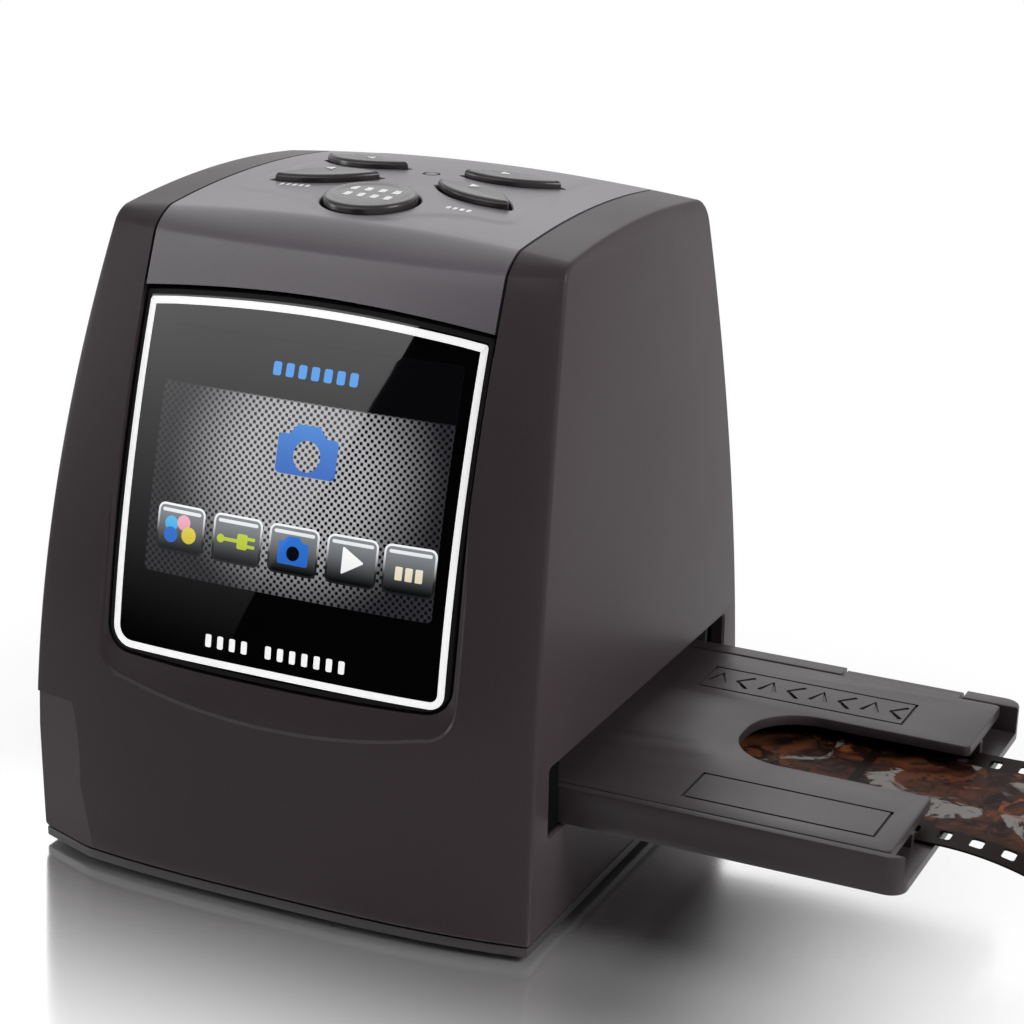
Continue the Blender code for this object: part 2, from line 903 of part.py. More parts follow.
tray_back = lcd_glass + gap + tray_floor
board_front = tray_back + tray_foot_height + gap
board_back = board_front + board_thickness
board_boss_x = window_half_width + gap + board_boss_radius
board_half_width = board_boss_x + board_boss_margin
screen_box("lcd_panel", lcd_width / 2, 0, lcd_glass, -lcd_height / 2, lcd_height / 2, screen_glass)
tray = screen_box(
    "lcd_frame",
    tray_half_width,
    gap,
    tray_back,
    -tray_half_height,
    tray_half_height,
    tinned_steel,
)
pocket_half_width = tray_half_width - tray_wall
pocket_half_height = tray_half_height - tray_wall
combine(
    tray,
    screen_box(
        "lcd_pocket", pocket_half_width, -overrun, lcd_glass + gap, -pocket_half_height, pocket_half_height
    ),
)
main_board = screen_box(
    "main_board", board_half_width, board_front, board_back, board_bottom, board_top, board_green
)
screen_box(
    "image_processor",
    chip_size / 2,
    board_back + gap,
    board_back + gap + chip_height,
    chip_rise - chip_size / 2,
    chip_rise + chip_size / 2,
    chip_black,
)
half_wall = add_object("half_wall", body_mesh("half_wall", wall / 2, -overrun))
head_front = board_back + gap
screw_end = head_front - board_screw_length
board_places = [
    (x, z)
    for x in (-board_boss_x, board_boss_x)
    for z in (board_bottom + board_boss_margin, board_top - board_boss_margin)
]
board_names = ("left_low", "left_high", "right_low", "right_high")
foot_x_on_tray = tray_half_width - tray_foot_radius
foot_z_on_tray = tray_half_height - tray_foot_radius
for (x, z), corner in zip(board_places, board_names):
    boss = screen_pin("board_boss_" + corner, board_boss_radius, -overrun, board_front - gap, x, z)
    combine(boss, half_wall, "INTERSECT")
    combine(housing, boss, "UNION")
for (x, z), corner in zip(board_places, board_names):
    bore = board_screw_radius + gap
    hole = screen_pin("board_screw_bore_" + corner, bore, screw_end - gap, board_front, x, z)
    combine(housing, hole)
    hole = screen_pin("board_hole_" + corner, bore, board_front - gap, head_front, x, z)
    combine(main_board, hole)
    label = "board_screw_" + corner
    screw = screen_pin(label, board_screw_radius, screw_end, head_front + gap, x, z, zinc_steel)
    head_back = head_front + board_screw_head_height
    head = screen_pin("board_screw_head_" + corner, board_screw_head_radius, head_front, head_back, x, z)
    combine(screw, head, "UNION")
    foot = screen_pin(
        "tray_foot_" + corner,
        tray_foot_radius,
        tray_back - gap,
        board_front - gap,
        math.copysign(foot_x_on_tray, x),
        foot_z_on_tray if corner.endswith("high") else -foot_z_on_tray,
    )
    combine(tray, foot, "UNION")


# Button shapes: a round scan button and four leaf shaped ones, two of them mirrored from the other two
def leaf_outline(start, end, bulge, belly, grow, mirror):
    along = direction(start, end) * grow * tip_growth_share
    first = start - along
    last = end + along
    outline = arc_points(first, last, bulge + grow, arc_steps)[:-1]
    outline += arc_points(last, first, belly + grow, arc_steps)[:-1]
    return [(mirror * point.x, point.y) for point in outline]


def scan_outline(grow):
    radius = scan_radius + grow
    steps = [2 * math.pi * step / round_sides for step in range(round_sides)]
    return [(radius * math.cos(angle), scan_y + radius * math.sin(angle)) for angle in steps]


def side_outline(mirror):
    outer = Vector((-side_outer_tip_x, side_outer_tip_y))
    inner = Vector((-side_inner_tip_x, side_inner_tip_y))
    return lambda grow: leaf_outline(outer, inner, side_button_bulge, side_button_belly, grow, mirror)


def rear_outline(mirror):
    outer = Vector((-rear_outer_tip_x, rear_outer_tip_y))
    inner = Vector((-rear_inner_tip_x, rear_inner_tip_y))
    return lambda grow: leaf_outline(outer, inner, rear_button_bulge, rear_button_belly, grow, mirror)


buttons = {
    "scan": scan_outline,
    "left": side_outline(1),
    "right": side_outline(-1),
    "rear_left": rear_outline(1),
    "rear_right": rear_outline(-1),
}


def middle_of(outline):
    return (sum(x for x, y in outline) / len(outline), sum(y for x, y in outline) / len(outline))


def flange_top(outline):
    return min(top_surface(x, y) for x, y in outline) - wall - flange_gap


# Heights of the switches under the top cover
plunger_rise = button_travel + plunger_margin
plunger_depth = switch_height - switch_floor - button_travel - gap
flange_bottoms = {
    name: flange_top(shape(button_flange)) - flange_thickness for name, shape in buttons.items()
}
switch_top = min(flange_bottoms.values()) - stem_least - gap - plunger_rise
button_board_top = switch_top - switch_height - gap
button_board_bottom = button_board_top - board_thickness


def cap_mesh(label, shape, place, bottom):
    # A loft from the flat foot of a cap up to its top, which follows the cover, with a rounded edge
    bm = bmesh.new()
    rings = [[bm.verts.new((x - place.x, y - place.y, bottom)) for x, y in shape(0)]]
    for step in range(edge_steps + 1):
        angle = math.pi / 2 * step / edge_steps
        drop = button_edge * (1 - math.sin(angle)) - button_rise
        outline = shape(-button_edge * (1 - math.cos(angle)))
        rings.append([bm.verts.new((x - place.x, y - place.y, top_surface(x, y) - drop)) for x, y in outline])
    for lower, upper in zip(rings, rings[1:]):
        for index in range(len(lower)):
            after = (index + 1) % len(lower)
            bm.faces.new((lower[index], lower[after], upper[after], upper[index]))
    bm.faces.new(rings[0])
    crown = bm.verts.new((0, 0, top_surface(*place) + button_rise))
    for index, vert in enumerate(rings[-1]):
        bm.faces.new((vert, rings[-1][(index + 1) % len(rings[-1])], crown))
    return mesh_from(bm, label, smooth_angle)


def add_plate(name, outline, low, high, place):
    # An upright tool on the outline, with its origin on the button's line of travel
    around = [(x - place.x, y - place.y) for x, y in outline]
    tool = add_object(name, outline_mesh(name, around, low, high))
    tool.location = (*place, 0)
    return tool


for name, shape in buttons.items():
    place = Vector(middle_of(shape(0)))
    above = body_height + overrun
    bottom = flange_bottoms[name]
    hole_outline = shape(button_clearance)
    combine(top_cover, add_plate(name + "_hole", hole_outline, body_height - overrun, above, place))
    label = name + "_button"
    button = add_object(label, cap_mesh(label, shape, place, bottom), button_black)
    button.location = (*place, 0)
    flange_outline = shape(button_flange)
    flange = add_plate(name + "_flange", flange_outline, bottom - gap, bottom + flange_thickness, place)
    combine(button, flange, "UNION")
    join_round(button, name + "_stem", stem_radius, switch_top + plunger_rise + gap, bottom, place)
    body_half = switch_size / 2
    label = name + "_switch"
    switch = add_object(
        label,
        box_mesh(
            label,
            (-body_half, -body_half, switch_top - switch_height),
            (body_half, body_half, switch_top),
        ),
        chip_black,
    )
    switch.location = (*place, 0)
    switch_floor_top = switch_top - switch_height + switch_floor
    cut_round(switch, name + "_switch_bore", plunger_radius + gap, switch_floor_top, above, place)
    label = name + "_plunger"
    plunger = add_object(
        label,
        round_mesh(label, plunger_radius, switch_top - plunger_depth, switch_top + plunger_rise, small_sides),
        nylon,
    )
    plunger.location = (*place, 0)

# Button board behind the main board, hung from pillars under the top cover, with the status light
board_half = button_board_width / 2
main_board_back = screen_y + board_top * math.sin(lean) + board_back * math.cos(lean)
button_board_front = main_board_back + button_board_clearance
add_object(
    "button_board",
    box_mesh(
        "button_board",
        (-board_half, button_board_front, button_board_bottom),
        (board_half, button_board_back, button_board_top),
    ),
    board_green,
)
pillar_edge = pillar_radius + pillar_inset
pillar_places = [
    (x, y)
    for x in (pillar_edge - board_half, board_half - pillar_edge)
    for y in (button_board_front + pillar_edge, button_board_back - pillar_edge)
]
for place, corner in zip(pillar_places, corner_names):
    pillar_top = top_surface(*place) - wall / 2
    join_round(top_cover, "pillar_" + corner, pillar_radius, button_board_top + gap, pillar_top, place)
led_half = led_size / 2
led_bottom = button_board_top + gap
led_top = led_bottom + led_height
add_object(
    "status_led",
    box_mesh(
        "status_led",
        (-led_half, light_y - led_half, led_bottom),
        (led_half, light_y + led_half, led_top),
    ),
    phosphor,
)
light_place = (0, light_y)
pipe = add_object(
    "status_light_pipe",
    round_mesh(
        "status_light_pipe",
        light_radius,
        led_top + gap,
        top_surface(*light_place) + light_rise,
        small_sides,
    ),
    tinted_acrylic,
)
pipe.location = (*light_place, 0)
light_bore = light_radius + gap
cut_round(top_cover, "light_hole", light_bore, body_height - overrun, body_height + overrun, light_place)

# Guides: a floor with two low walls under the carrier and a roof over it
guide_half_length = side_line(slot_bottom) - wall - guide_end_gap
channel_half = carrier_half_width + carrier_clearance
guide_half = channel_half + guide_wall
roof_bottom = slot_top + gap
roof_top = roof_bottom + guide_roof
aperture_x = frame_length / 2 + aperture_margin
aperture_y = frame_width / 2 + aperture_margin
lower_guide = add_object(
    "lower_guide",
    box_mesh(
        "lower_guide",
        (-guide_half_length, -guide_half, guide_bottom),
        (guide_half_length, guide_half, slot_top),
    ),
    inner_black,
)
cut_box(
    lower_guide,
    "guide_channel",
    (-body_width, -channel_half, slot_bottom),
    (body_width, channel_half, slot_top + overrun),
)
cut_box(
    lower_guide,
    "lower_aperture",
    (-aperture_x, -aperture_y, -overrun),
    (aperture_x, aperture_y, slot_top),
)
upper_guide = add_object(
    "upper_guide",
    box_mesh(
        "upper_guide",
        (-guide_half_length, -guide_half, roof_bottom),
        (guide_half_length, guide_half, roof_top),
    ),
    inner_black,
)
cut_box(
    upper_guide,
    "upper_aperture",
    (-aperture_x, -aperture_y, slot_bottom),
    (aperture_x, aperture_y, roof_top + overrun),
)

# Light under the film: a board with one emitter, a box that mixes its light and a diffuser on top
light_board_bottom = base_floor + gap
light_board_top = light_board_bottom + board_thickness
light_box_bottom = light_board_top + gap
light_box_top = light_box_bottom + light_depth
light_x = light_length / 2
light_y_half = light_width / 2
emitter_half = emitter_size / 2
add_object(
    "light_board",
    box_mesh(
        "light_board", (-light_x, -light_y_half, light_board_bottom), (light_x, light_y_half, light_board_top)
    ),
    board_white,
)
add_object(
    "backlight_led",
    box_mesh(
        "backlight_led",
        (-emitter_half, -emitter_half, light_box_bottom),
        (emitter_half, emitter_half, light_box_bottom + emitter_height),
    ),
    phosphor,
)
light_box = add_object(
    "light_box",
    box_mesh(
        "light_box",
        (-light_x, -light_y_half, light_box_bottom),
        (light_x, light_y_half, light_box_top),
    ),
    white_moulding,
)
cut_box(
    light_box,
    "light_box_inside",
    (light_wall - light_x, light_wall - light_y_half, light_box_bottom + light_wall),
    (light_x - light_wall, light_y_half - light_wall, light_box_top + overrun),
)
emitter_hole = emitter_half + emitter_margin
cut_box(
    light_box,
    "emitter_hole",
    (-emitter_hole, -emitter_hole, 0),
    (emitter_hole, emitter_hole, light_box_top),
)
add_object(
    "diffuser",
    box_mesh(
        "diffuser",
        (-light_x, -light_y_half, light_box_top + gap),
        (light_x, light_y_half, light_box_top + gap + diffuser_thickness),
    ),
    opal,
)

# Camera over the film: a four legged bracket, the lens barrel through it and the sensor above
bracket_bottom = roof_top + gap
bracket_top = bracket_bottom + bracket_height
bracket_plate_bottom = bracket_top - bracket_plate
bracket_half = bracket_size / 2
leg_inner = bracket_half - bracket_leg
bracket = add_object(
    "camera_bracket",
    box_mesh(
        "camera_bracket",
        (-bracket_half, -bracket_half, bracket_bottom),
        (bracket_half, bracket_half, bracket_top),
    ),
    inner_black,
)
for name, half in (("bracket_gap_x", (body_width, leg_inner)), ("bracket_gap_y", (leg_inner, body_width))):
    cut_box(bracket, name, (-half[0], -half[1], 0), (half[0], half[1], bracket_plate_bottom))
cut_round(bracket, "barrel_hole", barrel_radius + gap, 0, bracket_top + overrun, (0, 0), round_sides)
barrel_bottom = bracket_plate_bottom - barrel_below
barrel_top = bracket_top + barrel_above
barrel = add_object(
    "lens_barrel",
    round_mesh("lens_barrel", barrel_radius, barrel_bottom, barrel_top),
    inner_black,
)
flange_low = bracket_top + gap
join_round(
    barrel,
    "barrel_collar",
    barrel_radius + barrel_flange,
    flange_low,
    flange_low + barrel_flange_thickness,
    (0, 0),
    round_sides,
)
cut_round(barrel, "barrel_bore", barrel_bore_radius, 0, body_height, (0, 0), round_sides)


def turned_mesh(name, profile, sides):
    # A profile of (radius, height) pairs, from the top down its outer side, turned about Z
    mesh = bpy.data.meshes.new(name + "_profile")
    points = [(radius, 0, height) for radius, height in profile]
    mesh.from_pydata(points, [(index, index + 1) for index in range(len(points) - 1)], [])
    holder = bpy.data.objects.new(name, mesh)
    bpy.context.scene.collection.objects.link(holder)
    screw = holder.modifiers.new("turn", "SCREW")
    screw.steps = sides
    screw.render_steps = sides
    screw.use_merge_vertices = True
    screw.merge_threshold = weld_distance
    graph = bpy.context.evaluated_depsgraph_get()
    turned = bpy.data.meshes.new_from_object(holder.evaluated_get(graph))
    bpy.data.objects.remove(holder)
    bm = bmesh.new()
    bm.from_mesh(turned)
    bmesh.ops.remove_doubles(bm, verts=bm.verts, dist=weld_distance)
    return mesh_from(bm, name, smooth_angle)


# The glass is thin at its edge and bulges on both faces
glass_radius = barrel_bore_radius - gap
glass_low = barrel_bottom + glass_lift
glass_shares = [step / 4 for step in range(5)]
upper_face = [
    (glass_radius * share, glass_low + glass_edge + glass_bulge * (1 - share**2)) for share in glass_shares
]
lower_face = [
    (glass_radius * share, glass_low - glass_bulge * (1 - share**2)) for share in reversed(glass_shares)
]
glass_profile = upper_face + lower_face
add_object("lens_element", turned_mesh("lens_element", glass_profile, round_sides), lens_glass)

sensor_board_bottom = barrel_top + gap
sensor_board_top = sensor_board_bottom + board_thickness
sensor_board_half = sensor_board_size / 2
sensor_half = sensor_size / 2
add_object(
    "sensor_board",
    box_mesh(
        "sensor_board",
        (-sensor_board_half, -sensor_board_half, sensor_board_bottom),
        (sensor_board_half, sensor_board_half, sensor_board_top),
    ),
    board_green,
)
sensor_top = sensor_board_bottom - gap
add_object(
    "image_sensor",
    box_mesh(
        "image_sensor",
        (-sensor_half, -sensor_half, sensor_top - sensor_height),
        (sensor_half, sensor_half, sensor_top),
    ),
    silicon,
)
sensor_post = sensor_board_half - sensor_post_radius
sensor_posts = [(x, y) for x in (-sensor_post, sensor_post) for y in (-sensor_post, sensor_post)]
for place, corner in zip(sensor_posts, corner_names):
    low = bracket_top - bracket_plate / 2
    join_round(bracket, "sensor_post_" + corner, sensor_post_radius, low, sensor_board_bottom - gap, place)

# Socket board on four posts from the roof of the slot, its sockets reaching through the rear cover
io_bottom = roof_top + io_post_height + gap
io_top = io_bottom + board_thickness
socket_bottom = io_top + gap
io_back = back_surface(io_board_width / 2, io_top) - wall - io_board_inset
io_front = io_back - io_board_depth
add_object(
    "io_board",
    box_mesh("io_board", (-io_board_width / 2, io_front, io_bottom), (io_board_width / 2, io_back, io_top)),
    board_green,
)
io_post_x = io_board_width / 2 - io_post_radius - io_board_inset
io_rows = (io_front + io_post_radius + io_board_inset, guide_half - io_post_radius)
io_places = [(x, y) for x in (-io_post_x, io_post_x) for y in io_rows]
for place, corner in zip(io_places, corner_names):
    low = roof_top - guide_roof / 2
    join_round(upper_guide, "io_post_" + corner, io_post_radius, low, io_bottom - gap, place)

rear_cover = shell_piece("rear_cover", charcoal)
rear_keep = add_object(
    "rear_strip",
    box_mesh(
        "rear_strip",
        (-strip_half, 0, rear_cover_bottom + gap),
        (strip_half, body_depth, rear_cover_top),
    ),
)
combine(rear_cover, rear_keep, "INTERSECT")


def add_socket(name, middle, width, height, depth, shell):
    # A shell open to the back, its mouth just inside the rear cover's face, and the opening it shows through
    left = middle - width / 2
    right = middle + width / 2
    top = socket_bottom + height
    mouth = min(back_surface(left, top), back_surface(right, top)) - socket_recess
    box = box_mesh(name, (left, mouth - depth, socket_bottom), (right, mouth, top))
    socket = add_object(name, box, tinned_steel)
    cut_box(
        socket,
        name + "_inside",
        (left + shell, mouth - depth + shell, socket_bottom + shell),
        (right - shell, mouth + overrun, top - shell),
    )
    cut_box(
        rear_cover,
        name + "_opening",
        (left - socket_clearance, 0, socket_bottom - socket_clearance),
        (right + socket_clearance, body_depth, top + socket_clearance),
    )
    return socket, mouth


usb_socket, usb_mouth = add_socket("usb_socket", usb_x, usb_width, usb_height, usb_depth, usb_wall)
tongue_half = usb_width * usb_tongue_share / 2
tongue_middle = socket_bottom + usb_height / 2
join_box(
    usb_socket,
    "usb_tongue",
    (usb_x - tongue_half, usb_mouth - usb_depth + usb_wall / 2, tongue_middle - usb_tongue / 2),
    (usb_x + tongue_half, usb_mouth - socket_recess, tongue_middle + usb_tongue / 2),
)
add_socket("card_socket", card_x, card_width, card_height, card_depth, card_wall)


# Film carrier: a long tray and its hinged cover
def rounded_outline(corners):
    # Corners given as (x, y, radius), anticlockwise, each rounded by an arc of its radius
    outline = []
    for index, (x, y, radius) in enumerate(corners):
        corner = Vector((x, y))
        before = Vector(corners[index - 1][:2])
        after = Vector(corners[(index + 1) % len(corners)][:2])
        if radius == 0:
            outline.append((x, y))
            continue
        for point, _ in bend(corner, direction(before, corner), direction(corner, after), radius):
            outline.append((point.x, point.y))
    return outline


carrier_floor_top = carrier_bottom + carrier_floor
near_wall_y = carrier_wall - carrier_half_width
far_rim_y = carrier_half_width - carrier_rim
carrier_base = add_object(
    "carrier_base",
    outline_mesh(
        "carrier_base",
        rounded_outline(
            (
                (carrier_left, -carrier_half_width, carrier_left_corner),
                (carrier_right, -carrier_half_width, carrier_corner),
                (carrier_right, carrier_half_width, carrier_corner),
                (carrier_left, carrier_half_width, carrier_left_corner),
            )
        ),
        carrier_bottom,
        carrier_top,
    ),
    carrier_charcoal,
)
carrier_reach = carrier_right + overrun
cut_box(
    carrier_base,
    "carrier_channel",
    (-carrier_reach, near_wall_y, carrier_floor_top),
    (carrier_reach, far_rim_y, carrier_top + overrun),
)
rail_inner = film_width / 2 + gap
rail_outer = rail_inner + film_rail_width
rail_top = carrier_floor_top + film_rail_height
for name, low, high in (("near_rail", -rail_outer, -rail_inner), ("far_rail", rail_inner, rail_outer)):
    join_box(
        carrier_base,
        name,
        (carrier_left + carrier_corner, low, carrier_bottom + carrier_floor / 2),
        (carrier_right - carrier_corner, high, rail_top),
    )
cut_box(
    carrier_base,
    "frame_window",
    (-frame_length / 2, -frame_width / 2, 0),
    (frame_length / 2, frame_width / 2, carrier_top),
)
knuckles = (("first", knuckle_x), ("second", second_knuckle_x))
pin_left = min(knuckle_x, second_knuckle_x) - knuckle_width / 2 - hinge_pin_tail
pin_right = max(knuckle_x, second_knuckle_x) + knuckle_width / 2 + hinge_pin_tail
for name, x in knuckles:
    half = knuckle_width / 2 + knuckle_notch
    cut_box(
        carrier_base,
        name + "_knuckle_notch",
        (x - half, far_rim_y - gap, carrier_floor_top),
        (x + half, carrier_half_width + overrun, carrier_top + overrun),
    )


def hinge_bore(piece, name, left, right):
    tool = add_object(name, round_mesh(name, hinge_pin_radius + gap, left, right, small_sides, along_x))
    tool.location = (0, hinge_y, hinge_z)
    combine(piece, tool)


hinge_bore(carrier_base, "base_pin_bore", carrier_left - overrun, pin_right + gap)
pin = add_object(
    "carrier_hinge_pin",
    round_mesh("carrier_hinge_pin", hinge_pin_radius, pin_left, pin_right, small_sides, along_x),
    zinc_steel,
)
pin.location = (0, hinge_y, hinge_z)

# The cover turns on the pin, so its origin is on the pin's line
cover_right = carrier_right - cover_end_inset
cover_left = carrier_left + cover_left_inset
cover_near = near_wall_y + gap
cover_far = far_rim_y - gap
cover_bottom = carrier_top - cover_thickness
hinge_line = Vector((0, hinge_y, hinge_z))
to_hinge = Matrix.Translation(-hinge_line)
carrier_cover = add_object(
    "carrier_cover",
    outline_mesh(
        "carrier_cover",
        rounded_outline(
            (
                (cover_left, cover_near, 0),
                (cover_right, cover_near, cover_corner),
                (cover_right, -cutout_half_width, cover_corner),
                (cutout_end, -cutout_half_width, cutout_round),
                (cutout_end, cutout_half_width, cutout_round),
                (cover_right, cutout_half_width, cover_corner),
                (cover_right, cover_far, cover_corner),
                (cover_left, cover_far, 0),
            )
        ),
        cover_bottom,
        carrier_top,
        to_hinge,
    ),
    carrier_charcoal,
)
carrier_cover.location = hinge_line
cut_box(
    carrier_cover,
    "cover_window",
    (-frame_length / 2, -frame_width / 2, 0),
    (frame_length / 2, frame_width / 2, carrier_top + overrun),
)
far_label_place = (cover_right - far_label_end_inset, cover_far - far_label_edge_inset - far_label_width)
near_label_place = (cover_right - near_label_end_inset, cover_near + near_label_edge_inset)
for name, (right, low), length, width in (
    ("far_label", far_label_place, far_label_length, far_label_width),
    ("near_label", near_label_place, near_label_length, near_label_width),
):
    label = name + "_groove"
    left = right - length
    high = low + width
    groove_low = (left, low, carrier_top - groove_depth)
    groove = add_object(label, box_mesh(label, groove_low, (right, high, carrier_top + overrun)))
    cut_box(
        groove,
        name + "_island",
        (left + groove_width, low + groove_width, 0),
        (right - groove_width, high - groove_width, carrier_top + overrun + gap),
    )
    combine(carrier_cover, groove)
rib_bottom = film_bottom + film_thickness + gap
rib_outer = film_width / 2 - film_rib_inset
for name, low in (("near_rib", -rib_outer), ("far_rib", rib_outer - film_rib_width)):
    join_box(
        carrier_cover,
        name,
        (cover_left + cover_corner, low, rib_bottom),
        (cover_right - cover_corner, low + film_rib_width, cover_bottom + cover_thickness / 2),
    )
for name, x in knuckles:
    half = knuckle_width / 2
    join_box(
        carrier_cover,
        name + "_knuckle_arm",
        (x - half, cover_far - cover_thickness, cover_bottom),
        (x + half, hinge_y, carrier_top),
    )
    label = name + "_knuckle"
    knuckle = add_object(label, round_mesh(label, knuckle_radius, x - half, x + half, small_sides, along_x))
    knuckle.location = hinge_line
    combine(carrier_cover, knuckle, "UNION")
hinge_bore(carrier_cover, "cover_pin_bore", carrier_left - overrun, carrier_right + overrun)


# Film strip: a flat perforated sheet that droops past the end of the carrier
def film_mesh(name):
    pitches = film_frames * perforations_a_frame
    length = pitches * perforation_pitch
    right = carrier_right + film_reach
    left = right - length
    edges_x = [left]
    for index in range(pitches):
        middle = left + perforation_pitch * (index + 0.5)
        edges_x += [middle - perforation_length / 2, middle + perforation_length / 2]
    edges_x.append(right)
    half = film_width / 2
    row = half - perforation_edge - perforation_width
    edges_y = [-half, -row - perforation_width, -row, row, row + perforation_width, half]
    bm = bmesh.new()
    bmesh.ops.create_grid(bm, x_segments=len(edges_x) - 1, y_segments=len(edges_y) - 1, size=1)
    start = carrier_right + film_droop_start
    holes = []
    for face in bm.faces:
        centre = face.calc_center_median()
        column = round((centre.x + 1) / 2 * (len(edges_x) - 1) - 0.5)
        line = round((centre.y + 1) / 2 * (len(edges_y) - 1) - 0.5)
        if column % 2 == 1 and line in (1, 3):
            holes.append(face)
    for vert in bm.verts:
        x = edges_x[round((vert.co.x + 1) / 2 * (len(edges_x) - 1))]
        y = edges_y[round((vert.co.y + 1) / 2 * (len(edges_y) - 1))]
        past = max(0, x - start) / film_reach
        vert.co = (x, y, film_bottom - film_droop * past**2)
    bmesh.ops.delete(bm, geom=holes, context="FACES")
    return mesh_from(bm, name)


film = add_object("film_strip", film_mesh("film_strip"), negative_film)
thicken = film.modifiers.new("thickness", "SOLIDIFY")
thicken.thickness = film_thickness
thicken.offset = 1


# Ribbon cables: thin strips along a smooth path in Y and Z
def smooth_path(points):
    # A Catmull-Rom curve through the points
    ends = [points[0] * 2 - points[1]] + points + [points[-1] * 2 - points[-2]]
    path = []
    for p0, p1, p2, p3 in zip(ends, ends[1:], ends[2:], ends[3:]):
        for step in range(ribbon_steps):
            t = step / ribbon_steps
            square = (p0 * 2 - p1 * 5 + p2 * 4 - p3) * t**2
            cube = (p1 * 3 - p0 - p2 * 3 + p3) * t**3
            path.append((p1 * 2 + (p2 - p0) * t + square + cube) / 2)
    return path + [points[-1]]


def add_ribbon(name, points, width, middle):
    path = smooth_path(points)
    bm = bmesh.new()
    bmesh.ops.create_grid(bm, x_segments=1, y_segments=len(path) - 1, size=1)
    for vert in bm.verts:
        point = path[round((vert.co.y + 1) / 2 * (len(path) - 1))]
        vert.co = (middle + vert.co.x * width / 2, point.x, point.y)
    ribbon = add_object(name, mesh_from(bm, name, smooth_angle), polyimide)
    solid = ribbon.modifiers.new("thickness", "SOLIDIFY")
    solid.thickness = ribbon_thickness
    solid.offset = 0


def behind_board(height, depth):
    # A point (y, z) at a height up the main board and a depth behind its back
    back = board_back + depth
    return Vector(
        (
            screen_y + height * math.sin(lean) + back * math.cos(lean),
            screen_centre_z + height * math.cos(lean) - back * math.sin(lean),
        )
    )


ribbon_clear = gap + ribbon_thickness / 2
sensor_ribbon_z = sensor_board_top + ribbon_clear
sensor_level = (sensor_ribbon_z - screen_centre_z) / math.cos(lean) - ribbon_margin
under_chip = chip_rise - chip_size / 2 - ribbon_margin - ribbon_end - ribbon_loop
sensor_ribbon_foot = min(sensor_level, under_chip)
add_ribbon(
    "sensor_ribbon",
    [
        Vector((-sensor_board_half + ribbon_end, sensor_ribbon_z)),
        Vector((-sensor_board_half, sensor_ribbon_z)),
        behind_board(sensor_ribbon_foot + ribbon_end + ribbon_loop, ribbon_clear + ribbon_loop),
        behind_board(sensor_ribbon_foot + ribbon_end, ribbon_clear),
        behind_board(sensor_ribbon_foot, ribbon_clear),
    ],
    sensor_ribbon_width,
    0,
)
button_ribbon_z = button_board_bottom - ribbon_clear
button_ribbon_head = board_top - ribbon_end
add_ribbon(
    "button_ribbon",
    [
        Vector((button_board_front + ribbon_end, button_ribbon_z)),
        Vector((button_board_front, button_ribbon_z - ribbon_loop / 2)),
        behind_board(button_ribbon_head - ribbon_end, ribbon_clear + ribbon_loop / 2),
        behind_board(button_ribbon_head - ribbon_end - ribbon_loop, ribbon_clear),
        behind_board(button_ribbon_head - 2 * ribbon_end - ribbon_loop, ribbon_clear),
    ],
    button_ribbon_width,
    chip_size / 2 + button_ribbon_width / 2 + ribbon_margin,
)
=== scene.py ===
import math

import bmesh
import bpy
from mathutils import Matrix, Vector


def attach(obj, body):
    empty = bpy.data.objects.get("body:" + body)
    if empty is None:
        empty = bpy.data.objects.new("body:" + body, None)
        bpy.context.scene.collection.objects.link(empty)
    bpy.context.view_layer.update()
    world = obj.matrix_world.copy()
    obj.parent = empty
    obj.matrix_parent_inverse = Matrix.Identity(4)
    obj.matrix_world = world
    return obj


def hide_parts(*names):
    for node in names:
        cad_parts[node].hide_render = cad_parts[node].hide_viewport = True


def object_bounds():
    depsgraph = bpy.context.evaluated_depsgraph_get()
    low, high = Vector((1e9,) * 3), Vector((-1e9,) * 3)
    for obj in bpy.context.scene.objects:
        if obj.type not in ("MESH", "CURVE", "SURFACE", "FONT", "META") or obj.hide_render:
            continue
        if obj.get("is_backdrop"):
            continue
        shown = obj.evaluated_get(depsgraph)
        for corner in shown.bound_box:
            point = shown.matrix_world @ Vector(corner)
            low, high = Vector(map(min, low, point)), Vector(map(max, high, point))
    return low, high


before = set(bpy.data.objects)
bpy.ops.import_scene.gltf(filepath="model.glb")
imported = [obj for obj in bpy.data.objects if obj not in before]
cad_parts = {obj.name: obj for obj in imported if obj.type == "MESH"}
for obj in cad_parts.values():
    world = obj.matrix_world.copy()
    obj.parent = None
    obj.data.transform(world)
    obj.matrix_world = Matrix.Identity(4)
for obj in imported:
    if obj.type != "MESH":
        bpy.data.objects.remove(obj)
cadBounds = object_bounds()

mm = 0.001  # sizes below are in millimetres, and every finished mesh is in metres


def addPiece(name, data):
    # A new object that carries the data, put into the scene
    piece = bpy.data.objects.new(name, data)
    bpy.context.scene.collection.objects.link(piece)
    return piece


